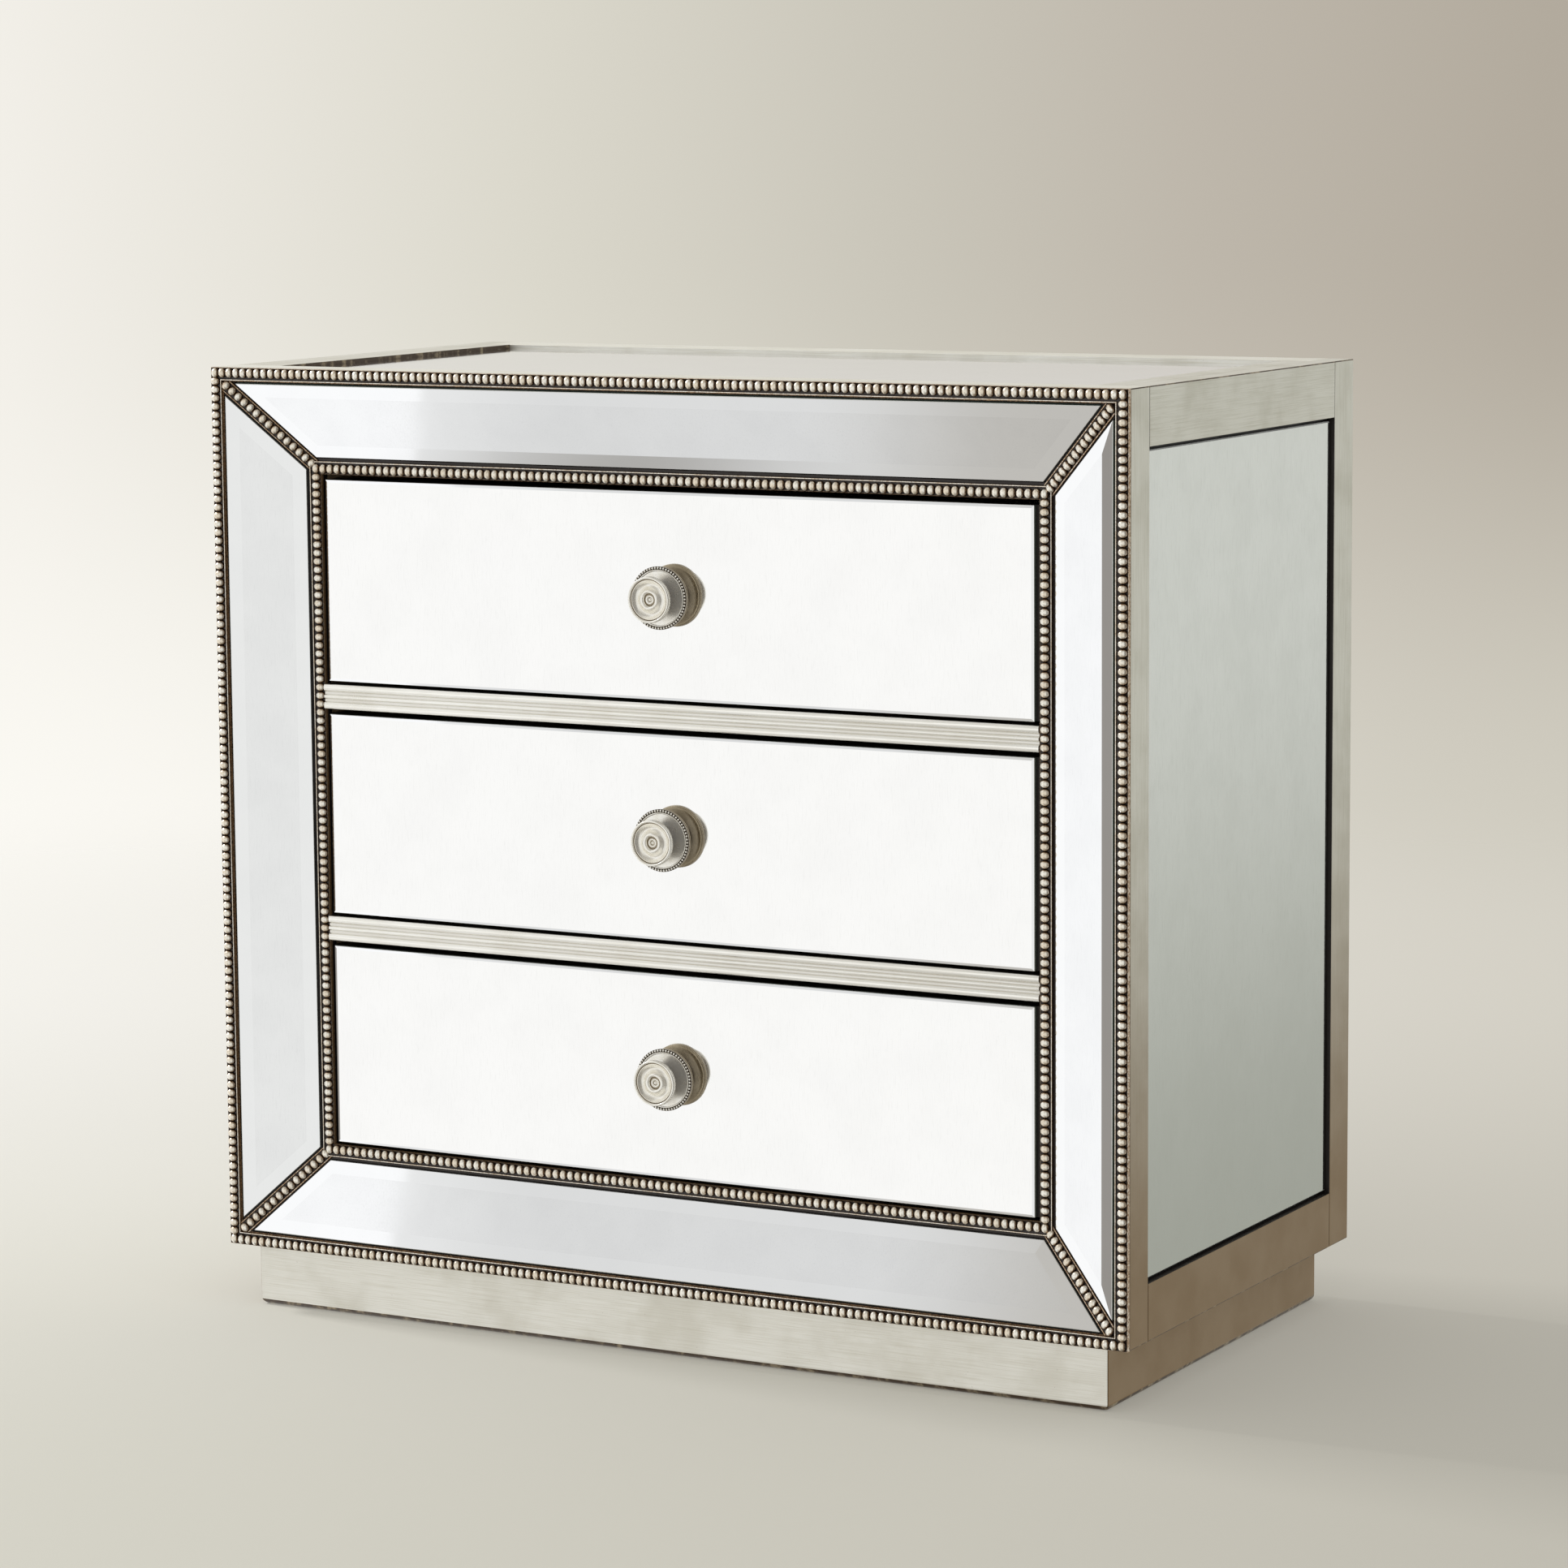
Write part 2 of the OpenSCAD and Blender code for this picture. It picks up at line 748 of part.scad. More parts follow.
module drawer_knob(k) {
    color(knob_metal) knob_axis(k) difference() {
        union() {
            rotate_extrude() polygon(knob_outline());
            for (i = [1 : knob_beads])
                rotate([0, 0, i * 360 / knob_beads]) translate([knob_disc_r, 0, knob_disc_h])
                    sphere(d = knob_bead_d);
        }
        translate([0, 0, -1]) cylinder(r = screw_r + thread_play, h = screw_grip + 2);
    }
}

// Pan-head screw through the drawer front and the mirror into the knob
module drawer_knob_screw(k) {
    head = -(glass_t + front_t);
    color(steel) knob_axis(k) {
        translate([0, 0, head]) cylinder(r = screw_r, h = screw_grip - head);
        translate([0, 0, head - screw_head_h]) cylinder(r = screw_head_r, h = screw_head_h);
    }
}

plinth_front();
plinth_back();
plinth_sides();
bottom_board();
back_panel();
left_rails();
left_back_stile();
left_backing();
left_mirror();
right_rails();
right_back_stile();
right_backing();
right_mirror();
top_board();
top_rim_ends();
top_rim_back();
top_mirror();
front_frame_top();
front_frame_right();
front_frame_bottom();
front_frame_left();
border_mirror(0);  // border_mirror_top
border_mirror(1);  // border_mirror_right
border_mirror(2);  // border_mirror_bottom
border_mirror(3);  // border_mirror_left
outer_bead_rows();
outer_bead_columns();
inner_bead_rows();
inner_bead_columns();
mitre_beads();
upper_rail();
lower_rail();
upper_dust_board();
lower_dust_board();
inner_walls();
runner_channels();
for (k = DRAWERS) {
    drawer_front(k);
    drawer_mirror(k);
    drawer_sides(k);
    drawer_back(k);
    drawer_bottom(k);
    drawer_runners(k);
    drawer_knob(k);
    drawer_knob_screw(k);
}
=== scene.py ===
# %% [markdown]
# # Dressing a mirrored nightstand
# The joinery of this three-drawer chest is already packed: every board, pane and drawer lies where
# it belongs, in metres, with +Z up. This lesson gives those pieces the look of the real thing:
# silver leaf rubbed over a brown ground, beaded mouldings, bevelled and lightly antiqued mirrors
# and turned knobs. The joinery is loaded first, because every new piece takes its place from it.

# %% Load the joinery
import math

import bmesh
import bpy
from mathutils import Matrix, Vector


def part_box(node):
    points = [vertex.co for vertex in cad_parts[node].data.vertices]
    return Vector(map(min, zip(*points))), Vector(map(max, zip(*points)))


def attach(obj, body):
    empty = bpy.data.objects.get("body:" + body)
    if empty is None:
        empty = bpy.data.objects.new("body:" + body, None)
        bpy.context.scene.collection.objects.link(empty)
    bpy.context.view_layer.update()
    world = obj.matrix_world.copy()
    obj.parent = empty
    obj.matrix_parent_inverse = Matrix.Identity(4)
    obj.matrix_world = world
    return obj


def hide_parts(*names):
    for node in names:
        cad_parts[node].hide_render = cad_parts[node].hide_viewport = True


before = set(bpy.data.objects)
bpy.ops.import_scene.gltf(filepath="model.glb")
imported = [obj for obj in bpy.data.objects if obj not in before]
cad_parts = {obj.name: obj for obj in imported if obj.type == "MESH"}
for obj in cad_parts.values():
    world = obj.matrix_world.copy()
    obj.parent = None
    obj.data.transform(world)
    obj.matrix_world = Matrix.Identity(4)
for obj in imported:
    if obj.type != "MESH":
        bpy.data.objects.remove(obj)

scene = bpy.context.scene
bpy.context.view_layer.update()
mm = 0.001
print("joinery loaded:", len(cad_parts), "nodes")

# %% [markdown]
# ## The camera
# The photograph was taken with a long lens from the right of the chest, a little above its top. A
# camera is three turns and a place: about Z for the direction, about X for the dip, and about its
# own line of sight for the slight roll. The lens follows from the focal length that the corners of
# the chest gave.

# %% Place the camera
CAMERA_AT = Vector((1.8486, -3.3776, 0.9336))
CAMERA_TURN = 28.688
CAMERA_DIP = 7.835
CAMERA_ROLL = -0.451
FOCAL_PIXELS = 6282.5
PHOTO_PIXELS = 1932
SENSOR_WIDTH = 36

camera_data = bpy.data.cameras.new("camera")
camera_data.sensor_width = SENSOR_WIDTH
camera_data.lens = SENSOR_WIDTH * FOCAL_PIXELS / PHOTO_PIXELS
camera = bpy.data.objects.new("camera", camera_data)
scene.collection.objects.link(camera)
scene.camera = camera
scene.view_settings.view_transform = "Standard"
camera.matrix_world = (
    Matrix.Translation(CAMERA_AT)
    @ Matrix.Rotation(math.radians(CAMERA_TURN), 4, "Z")
    @ Matrix.Rotation(math.radians(90 - CAMERA_DIP), 4, "X")
    @ Matrix.Rotation(math.radians(CAMERA_ROLL), 4, "Z")
)
print("lens:", round(camera_data.lens, 1), "mm")

# %% [markdown]
# ## Helpers for materials
# Colours are easiest to pick as the sRGB hex of a paint chart, but Blender's sockets hold linear
# light, so one function turns one into the other. A second one adds any node with its settings and
# links. On top of it come the parts of every material: noise with marks of a real size, a smooth
# step, and layers of colour, laid like coats of paint.

# %% Helpers for colours and nodes
def linear(hex_colour):
    """A colour written as sRGB hex, as the linear RGBA that a socket takes."""
    channels = [int(hex_colour[i:i + 2], 16) / 255 for i in (1, 3, 5)]
    return [c / 12.92 if c <= 0.04045 else ((c + 0.055) / 1.055) ** 2.4 for c in channels] + [1]


def fill(tree, node, inputs):
    """Fills sockets of a node. An input is a value, or another node's output to link."""
    for socket, value in inputs.items():
        if isinstance(value, bpy.types.NodeSocket):
            tree.links.new(value, node.inputs[socket])
        else:
            node.inputs[socket].default_value = value


def add(tree, kind, inputs=None, **settings):
    """Adds a node with its settings and inputs."""
    node = tree.nodes.new(kind)
    for name, value in settings.items():
        setattr(node, name, value)
    fill(tree, node, inputs or {})
    return node


def empty_material(name):
    """A material without nodes, and its node tree."""
    material = bpy.data.materials.new(name)
    material.use_nodes = True
    material.node_tree.nodes.clear()
    return material, material.node_tree


def new_material(name):
    """A material, its node tree and the surface shader that it ends in."""
    material, tree = empty_material(name)
    shader = add(tree, "ShaderNodeBsdfPrincipled")
    add(tree, "ShaderNodeOutputMaterial", {"Surface": shader.outputs["BSDF"]})
    return material, tree, shader


def set_surface(tree, shader, colour, roughness, metallic=0.0):
    """Gives a surface its colour, its roughness and its share of metal."""
    fill(tree, shader, {"Base Color": colour, "Roughness": roughness, "Metallic": metallic})


def place_on_piece(tree):
    """The place of a point on its piece, in metres."""
    return add(tree, "ShaderNodeTexCoord").outputs["Object"]


def height_of(tree, vector):
    """The height of a place or a direction."""
    return add(tree, "ShaderNodeSeparateXYZ", {"Vector": vector}).outputs["Z"]


def hollows(tree):
    """How deep in a groove or in painted shade a point lies, 0 to 1, on mouldings and knobs."""
    return add(tree, "ShaderNodeAttribute", attribute_name="hollow").outputs["Fac"]


def calculate(tree, operation, *values):
    """One step of arithmetic."""
    step = add(tree, "ShaderNodeMath", dict(enumerate(values)), operation=operation)
    return step.outputs["Value"]


NOISE_ROUGHNESS = 0.6


def grain(tree, size, detail):
    """Noise whose marks measure size in metres: one length, or three along X, Y and Z."""
    lengths = size if isinstance(size, list) else [size] * 3
    stretch = add(tree, "ShaderNodeMapping", {
        "Vector": place_on_piece(tree),
        "Scale": [1 / length for length in lengths],
    })
    return add(tree, "ShaderNodeTexNoise", {
        "Vector": stretch.outputs["Vector"],
        "Scale": 1.0,
        "Detail": detail,
        "Roughness": NOISE_ROUGHNESS,
    }).outputs["Fac"]


def between(tree, value, low, high, start=0.0, end=1.0):
    """Spreads value from low..high over start..end, smoothly and without overshoot."""
    return add(tree, "ShaderNodeMapRange", {
        "Value": value,
        "From Min": low,
        "From Max": high,
        "To Min": start,
        "To Max": end,
    }, interpolation_type="SMOOTHSTEP").outputs["Result"]


# The outputs and inputs of a colour mix, which shares its socket names with other kinds of mix
MIX_FACTOR, MIX_A, MIX_B, MIX_OUT = 0, 6, 7, 2


def blend_colours(tree, factor, first, second):
    """Mixes two colours, each a hex value or another node's output."""
    colours = [linear(c) if isinstance(c, str) else c for c in (first, second)]
    mix = add(tree, "ShaderNodeMix", {
        MIX_FACTOR: factor, MIX_A: colours[0], MIX_B: colours[1],
    }, data_type="RGBA")
    return mix.outputs[MIX_OUT]


def times(tree, *values):
    """The product of several values."""
    product = values[0]
    for value in values[1:]:
        product = calculate(tree, "MULTIPLY", product, value)
    return product


def layered(tree, colour, *layers):
    """Lays colours over a first one. A layer is its colour and where it lies: the product of its
    gates, each another node's output or what between needs to make one."""
    for coat, *gates in layers:
        shares = [between(tree, *gate) if isinstance(gate, tuple) else gate for gate in gates]
        colour = blend_colours(tree, times(tree, *shares), colour, coat)
    return colour


def raised(tree, shader, height, depth):
    """Bump from a height of 0 to 1, where 1 stands depth metres proud."""
    bump = add(tree, "ShaderNodeBump", {"Height": height, "Strength": 1.0, "Distance": depth})
    fill(tree, shader, {"Normal": bump.outputs["Normal"]})


print("helpers ready")

# %% [markdown]
# ## Silver leaf
# The frame is wood covered with silver leaf, toned with champagne lacquer and brushed along each
# board before it dried. The eye gets a soft sheen, fine streaks along the board, clouds where the
# toner lay thicker, small brown specks, and brown in the hollows, where the brush left the toner
# behind. No noise can find the hollows, so the mouldings carry an attribute, "hollow", that is 0 on
# a crown and 1 in a groove, and a piece without it reads 0. The sides have a darker copy of the
# leaf than the front, as painted shade, and darken towards the floor, again as painted shade. The
# rails between the drawers have the brightest copy, as painted light.

# %% Silver leaf
STREAK_WIDTH = 0.7 * mm
STREAK_LENGTH = 45 * mm
FINE_RELIEF = 0.04 * mm
CLOUD_SIZE = 55 * mm
SPECK_SIZE = 1.6 * mm
LOW_SHADE, SPECK = "#8F7757", "#7A6448"
# Painted shade: the leaf darkens to warm brown downwards between these heights, by a share for
# boards along each axis
LOW_SHADE_FROM, LOW_SHADE_TO = 0.06, 0.47
LOW_SHADE_SHARE = {"x": 0.08, "y": 1.0, "z": 1.0}
# The sheen of leaf in a hollow, and how much duller leaf is under a cloud
HOLLOW_SHEEN = 0.1
CLOUDED_DULL = 0.12


def along(axis, length, width):
    """The size of a mark that is longest along one axis."""
    return [length if letter == axis else width for letter in "xyz"]


def silver_leaf(name, axis, light="#E1DFD5", toned="#C6C3B3", ground="#4A3826", sheen=0.72,
                dull=0.34):
    """Brushed silver leaf whose streaks run along one axis."""
    material, tree, shader = new_material(name)
    streaks = grain(tree, along(axis, STREAK_LENGTH, STREAK_WIDTH), detail=6)
    clouds = grain(tree, CLOUD_SIZE, detail=4)
    specks = grain(tree, SPECK_SIZE, detail=2)
    height = height_of(tree, place_on_piece(tree))
    hollow = hollows(tree)
    colour = layered(
        tree, light,
        (toned, (streaks, 0.38, 0.78, 0.0, 0.75)),
        (toned, (clouds, 0.42, 0.72, 0.0, 0.4)),
        # painted shade, darker towards the floor
        (LOW_SHADE, (height, LOW_SHADE_FROM, LOW_SHADE_TO, LOW_SHADE_SHARE[axis], 0.0)),
        (SPECK, (specks, 0.7, 0.8, 0.0, 0.6)),
        (ground, (hollow, 0.25, 0.85)),
    )
    set_surface(tree, shader, colour, between(tree, clouds, 0.3, 0.7, dull, dull + CLOUDED_DULL),
                between(tree, hollow, 0.3, 0.8, sheen, HOLLOW_SHEEN))
    raised(tree, shader, streaks, FINE_RELIEF)
    return material


# The y and z leaf's darker default colours are painted shade, the rails' bright copy painted light
leaf = {axis: silver_leaf("silver_leaf_brushed_" + axis, axis) for axis in "yz"}
leaf["x"] = silver_leaf("silver_leaf_brushed_x", "x", "#F4F3EA", "#D8D4C4")
rail_leaf = silver_leaf("silver_leaf_rails", "x", "#FFFEF8", "#F1EDE1", "#8C7F69", 0.9, 0.16)
print("silver leaf:", sorted(leaf))

# %% [markdown]
# ## Rubbed edges
# Along the outer arrises the leaf is rubbed through, and the brown clay ground shows as a broken
# dark line. A coarse noise mixes leaf and ground, and the narrow faces of outer edges get it. The
# same material also darkens the walls at the ends of the top mirror's recess, as painted shade.

# %% Rubbed edges
RUB_LENGTH = 9 * mm

rubbed_or_shaded, tree, shader = new_material("silver_leaf_rubbed_or_shaded_edge")
rub = grain(tree, RUB_LENGTH, detail=4)
colour = layered(tree, "#A2937A", ("#4A3825", (rub, 0.32, 0.52)))
set_surface(tree, shader, colour, 0.45, between(tree, rub, 0.32, 0.52, 0.6, 0.1))
print("rubbed edge ready")

# %% [markdown]
# ## Beaded leaf
# The beads are pressed wood, leafed with bright silver and wiped with dark glaze. Wiping leaves
# bright crowns, a tan film on the flanks and dark gaps. The "hollow" attribute does most of this,
# with a fine noise to break its edges and a slow one so that no two beads are alike.

# %% Beaded leaf
GLAZE_SPECK = 1.2 * mm
BEAD_TINT = 9 * mm

beaded, tree, shader = new_material("beaded_leaf_wiped")
speck = grain(tree, GLAZE_SPECK, detail=3)
tint = grain(tree, BEAD_TINT, detail=2)
broken = calculate(tree, "ADD", between(tree, speck, 0.3, 0.7, -0.12, 0.12), hollows(tree))
colour = layered(
    tree, "#FFFBF0",
    ("#F0E4D0", (tint, 0.4, 0.62)),
    ("#A88560", (broken, 0.25, 0.6)),
    ("#23150B", (broken, 0.45, 0.85)),
)
set_surface(tree, shader, colour, between(tree, speck, 0.3, 0.7, 0.24, 0.38),
            between(tree, broken, 0.4, 0.8, 0.85, 0.1))
raised(tree, shader, speck, FINE_RELIEF)
print("beaded leaf ready")

# %% [markdown]
# ## Mirrors
# A mirror is float glass with silver behind it. One metallic surface with a very low roughness
# gives the same picture at a fraction of the cost. These mirrors are faintly antiqued: their silver
# is a shade darker in short fine dashes and soft clouds, and rougher in the dashes. The sides are
# the most antiqued, and their silver grows darker towards the floor, a painted reflection of the
# shaded floor. The rim of each pane is ground, which leaves a pale frosted arris round a
# grey-green edge.

# %% Mirrors
DASH_WIDTH = 0.8 * mm
DASH_LENGTH = 9 * mm
FADE_SIZE = 45 * mm
CHIP_SIZE = 1.5 * mm
FROST_SIZE = 0.8 * mm
# Painted reflection of the shaded floor, blended in low down on the side mirrors
REFLECTED_FLOOR_SHADE = "#A2A49A"
REFLECTED_SHADE_FROM, REFLECTED_SHADE_TO = 0.05, 0.6


def mirror(name, axis, light, dark, dash_share, fade_share, roughness, reflected_shade=0.0):
    """Silvered glass with short dashes and clouds, darkened low down as a painted reflection."""
    material, tree, shader = new_material(name)
    dashes = grain(tree, along(axis, DASH_LENGTH, DASH_WIDTH), detail=4)
    clouds = grain(tree, FADE_SIZE, detail=5)
    height = height_of(tree, place_on_piece(tree))
    colour = layered(
        tree, light,
        (dark, (clouds, 0.35, 0.7, 0.0, fade_share)),
        (dark, (dashes, 0.5, 0.8, 0.0, dash_share)),
        # painted reflection of the shaded floor, darker low down
        (REFLECTED_FLOOR_SHADE, (height, REFLECTED_SHADE_FROM, REFLECTED_SHADE_TO, reflected_shade, 0.0)),
    )
    dulled = between(tree, dashes, 0.3, 0.8, roughness, roughness * 2)
    set_surface(tree, shader, colour, dulled, 1.0)
    return material


drawer_glass = mirror("mirror_drawer", "z", "#FBFBFA", "#E4E4E3", 0.22, 0.12, 0.03)
border_glass = mirror("mirror_border", "z", "#F8F9FA", "#DFE0E2", 0.22, 0.16, 0.03)
bevel_glass = mirror("mirror_bevel", "z", "#FBFCFD", "#E9EBED", 0.12, 0.12, 0.015)
top_glass = mirror("mirror_top", "x", "#DEDDDF", "#C6C5C8", 0.2, 0.18, 0.04)
side_glass = mirror("mirror_antiqued_side", "z", "#E9EAE8", "#CCCDC9", 0.4, 0.2, 0.06, reflected_shade=0.8)


def speckled(name, size, detail, colours, roughness, metallic=0.0, peel=None):
    """A material whose colour and dullness follow one noise. A sprayed one also has orange peel."""
    material, tree, shader = new_material(name)
    specks = grain(tree, size, detail)
    set_surface(tree, shader, layered(tree, colours[0], (colours[1], specks)),
                between(tree, specks, 0.3, 0.7, *roughness), metallic)
    if peel:
        raised(tree, shader, grain(tree, peel, detail=2), FINE_RELIEF)
    return material


# The edge is dark because little light gets out of it, while the arris catches the light
glass_edge = speckled("glass_ground_edge", CHIP_SIZE, 3, ("#3A443E", "#6C786F"), (0.2, 0.45))
glass_arris = speckled("glass_ground_arris", FROST_SIZE, 2, ("#DDE0DC", "#F4F5F2"), (0.3, 0.5), 0.4)
print("mirrors ready")

# %% [markdown]
# ## Black board and drawer wood
# The carcase behind the mirrors is board sprayed matt black. The drawer boxes are pale solid wood
# with an open grain, whose rings and pores are two long noises.

# %% Black board and drawer wood
PEEL_SIZE = 1.6 * mm
DUST_SIZE = 40 * mm
PORE_WIDTH = 0.7 * mm
PORE_LENGTH = 14 * mm
PORE_DEPTH = 0.06 * mm
RING_WIDTH = 9 * mm
RING_LENGTH = 260 * mm


def planed_wood(name, axis):
    """Planed and sealed pale wood, its grain along one axis."""
    material, tree, shader = new_material(name)
    rings = grain(tree, along(axis, RING_LENGTH, RING_WIDTH), detail=3)
    pores = grain(tree, along(axis, PORE_LENGTH, PORE_WIDTH), detail=4)
    colour = layered(
        tree, "#D9C09A",
        ("#B08C5F", (rings, 0.35, 0.65)),
        ("#8A6840", (pores, 0.55, 0.75, 0.0, 0.6)),
    )
    set_surface(tree, shader, colour, between(tree, rings, 0.3, 0.7, 0.4, 0.55))
    raised(tree, shader, pores, PORE_DEPTH)
    return material


black = speckled("black_lacquered_board", DUST_SIZE, 4, ("#120E0B", "#231A13"), (0.45, 0.62),
                 peel=PEEL_SIZE)
wood = {axis: planed_wood("drawer_wood_along_" + axis, axis) for axis in "xy"}
print("boards ready")

# %% [markdown]
# ## Steel and knob metal
# The runners are zinc-plated steel, and a Voronoi pattern gives its faint spangle. The knobs are
# cast metal plated with silver and then darkened in their grooves, as the beads are, and under
# the disc and the face as painted shade.

# %% Steel and knob metal
SPANGLE_SIZE = 7 * mm
HAZE_SIZE = 6 * mm

steel, tree, shader = new_material("zinc_plated_steel")
crystals = add(tree, "ShaderNodeTexVoronoi", {
    "Vector": place_on_piece(tree),
    "Scale": 1 / SPANGLE_SIZE,
}).outputs["Color"]
value = add(tree, "ShaderNodeSeparateColor", {"Color": crystals}).outputs["Red"]
set_surface(tree, shader, layered(tree, "#B4B8BB", ("#CED1D2", value)),
            between(tree, value, 0.0, 1.0, 0.28, 0.42), 1.0)

knob_silver, tree, shader = new_material("plated_knob_silver")
haze = grain(tree, HAZE_SIZE, detail=3)
hollow = hollows(tree)
colour = layered(
    tree, "#FFFDF6",
    ("#F9F5EA", (haze, 0.35, 0.7)),
    # tan and dark brown where hollow is high: glaze in grooves, painted shade under disc and face
    ("#C0B298", (hollow, 0.25, 0.6)),
    ("#2A1A0D", (hollow, 0.55, 0.95)),
)
set_surface(tree, shader, colour, between(tree, haze, 0.3, 0.7, 0.2, 0.28), 0.7)
print("metals ready")

# %% [markdown]
# ## Turning packed boards into eased boards
# A packed board has knife-sharp edges, and nothing made of wood does. Its mesh can't be touched, so
# each board is copied: loose triangles are merged, flat faces joined, and every arris is bevelled
# by a fraction of a millimetre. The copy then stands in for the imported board. Small tests say which
# material a face gets, and the bevels on outer arrises are rubbed.

# %% Easing a board
MERGE = 0.01 * mm
FLAT = math.radians(1)
ARRIS = math.radians(25)
ARRIS_REACH = 2.5 * mm
# A face looks along an axis when its normal has more than this share of it
MOSTLY = 0.5
# Where a board's materials stand in its list: the leaf or wood, then these two
RUBBED_OR_SHADED, INNER = 1, 2


def copy_of(node):
    """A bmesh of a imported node, merged, with its flat faces joined."""
    bm = bmesh.new()
    bm.from_mesh(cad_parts[node].data)
    bmesh.ops.remove_doubles(bm, verts=bm.verts, dist=MERGE)
    bmesh.ops.dissolve_limit(bm, angle_limit=FLAT, verts=bm.verts, edges=bm.edges)
    return bm


def ease(bm, radius, steps=2):
    """Rounds every arris of a board and returns the narrow new faces."""
    sharp = [e for e in bm.edges if e.is_manifold and e.calc_face_angle() > ARRIS]
    made = bmesh.ops.bevel(bm, geom=sharp, offset=radius, affect="EDGES", segments=steps,
                           profile=0.5, material=-1, clamp_overlap=True)
    return made["faces"]


def piece(node, bm, materials, body, smooth=None):
    """Makes a finished object of a bmesh, on its body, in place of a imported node."""
    name = node + "_dressed"
    mesh = bpy.data.meshes.new(name)
    bm.to_mesh(mesh)
    bm.free()
    for material in materials:
        mesh.materials.append(material)
    if smooth is not None:
        mesh.shade_smooth()
        mesh.set_sharp_from_angle(angle=math.radians(smooth))
    obj = bpy.data.objects.new(name, mesh)
    scene.collection.objects.link(obj)
    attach(obj, body)
    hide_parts(node)


def on_arris(face, box):
    """True for a face that lies along an outer arris of a box."""
    middle = face.calc_center_median()
    near = [min(abs(middle[i] - corner[i]) for corner in box) < ARRIS_REACH for i in range(3)]
    return sum(near) >= 2


def eased_board(node, material, radius, body="case", rubs_on=None, is_inner=None,
                is_worn_or_shaded=None):
    """An eased copy of a packed board, worn along the box rubs_on and black on inner faces."""
    bm = copy_of(node)
    narrow = ease(bm, radius)
    for face in bm.faces:
        if is_inner and is_inner(face):
            face.material_index = INNER
        if is_worn_or_shaded and is_worn_or_shaded(face):
            face.material_index = RUBBED_OR_SHADED
    for face in narrow:
        if rubs_on and on_arris(face, rubs_on):
            face.material_index = RUBBED_OR_SHADED
    piece(node, bm, [material, rubbed_or_shaded, black], body)


def box_round(*nodes):
    """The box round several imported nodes."""
    corners = [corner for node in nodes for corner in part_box(node)]
    return [Vector([pick(c[i] for c in corners) for i in range(3)]) for pick in (min, max)]


print("easing ready")

# %% [markdown]
# ## Plinth, sides and top
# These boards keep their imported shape, so each needs only its material, the way its streaks run and
# how far its edges are eased. The plinth is handled most and has the softest edges.

# %% Leafed boards
PLINTH_EASE = 1.2 * mm
FRAME_EASE = 0.8 * mm
JOINT_EASE = 0.3 * mm
WORN_HEIGHT = 4 * mm

case_box = box_round("front_frame_left", "front_frame_right", "left_back_stile", "right_back_stile")
REVEAL_LOW, REVEAL_HIGH = [corner.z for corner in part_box("left_mirror")]
REVEAL_MARGIN = 10 * mm
# The lower round of the plinth looks down at a slant: steeper than its side, flatter than its foot
FOOT_WAY, SIDE_WAY = -0.97, -0.2
RECESS_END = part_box("top_mirror")[1].x


def faces_side_mirror(face):
    """True for a face of a side's frame that looks at its mirror, or into the case."""
    middle = face.calc_center_median()
    if abs(face.normal.z) > MOSTLY:
        return REVEAL_LOW - REVEAL_MARGIN < middle.z < REVEAL_HIGH + REVEAL_MARGIN
    inwards = abs(face.normal.x) > MOSTLY and face.normal.x * middle.x < 0
    return face.normal.y < -MOSTLY or inwards


def on_lower_round(face):
    """True for the rounded lower edge of the plinth, which feet and brooms have worn."""
    return face.calc_center_median().z < WORN_HEIGHT and FOOT_WAY < face.normal.z < SIDE_WAY


def in_end_recess(face):
    """True for the wall at each end of the top mirror's recess, darkened as painted shade."""
    middle = face.calc_center_median()
    inwards = abs(face.normal.x) > MOSTLY and face.normal.x * middle.x < 0
    return inwards and abs(middle.x) > RECESS_END


for node, axis in (("plinth_front", "x"), ("plinth_back", "x"), ("plinth_sides", "y")):
    eased_board(node, leaf[axis], PLINTH_EASE, is_worn_or_shaded=on_lower_round)
for side in ("left", "right"):
    for part, axis in (("rails", "y"), ("back_stile", "z")):
        eased_board(f"{side}_{part}", leaf[axis], FRAME_EASE, rubs_on=case_box,
                    is_inner=faces_side_mirror)
for node, axis in (("top_rim_ends", "y"), ("top_rim_back", "x")):
    eased_board(node, leaf[axis], JOINT_EASE, rubs_on=case_box,
                is_worn_or_shaded=in_end_recess)
print("leafed boards ready")

# %% [markdown]
# The four mitred boards of the front frame show only their outer edges, as the front stiles and the
# front of the top. What faces the mirrors and the drawers is painted black, so that every gap reads
# as a dark line.

# %% Front frame
OPENING_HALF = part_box("upper_rail")[1].x
CASE_LOW, CASE_HIGH = case_box
SIDES = ("top", "right", "bottom", "left")
MIDDLE = Vector((0, 0, (CASE_LOW.z + CASE_HIGH.z) / 2))


def faces_inwards(face):
    """True for a face of the front frame that looks forwards, backwards or at the drawers."""
    looks_inside = face.normal.dot(MIDDLE - face.calc_center_median()) > 0
    return abs(face.normal.y) > MOSTLY or looks_inside


for side, axis in zip(SIDES, "xzxz"):
    eased_board("front_frame_" + side, leaf[axis], FRAME_EASE, rubs_on=case_box,
                is_inner=faces_inwards)
print("front frame ready, opening", round(2 * OPENING_HALF / mm), "mm wide")

# %% [markdown]
# ## Black and bare boards
# The bottom, the back, the panels behind the side mirrors and the drawer fronts are black. The
# inner walls, the dust boards and the drawer boxes are bare wood, and their grain runs along each
# board.

# %% Carcase and drawer boxes
BOARD_EASE = 0.4 * mm
BOTTOM_EASE = 0.2 * mm

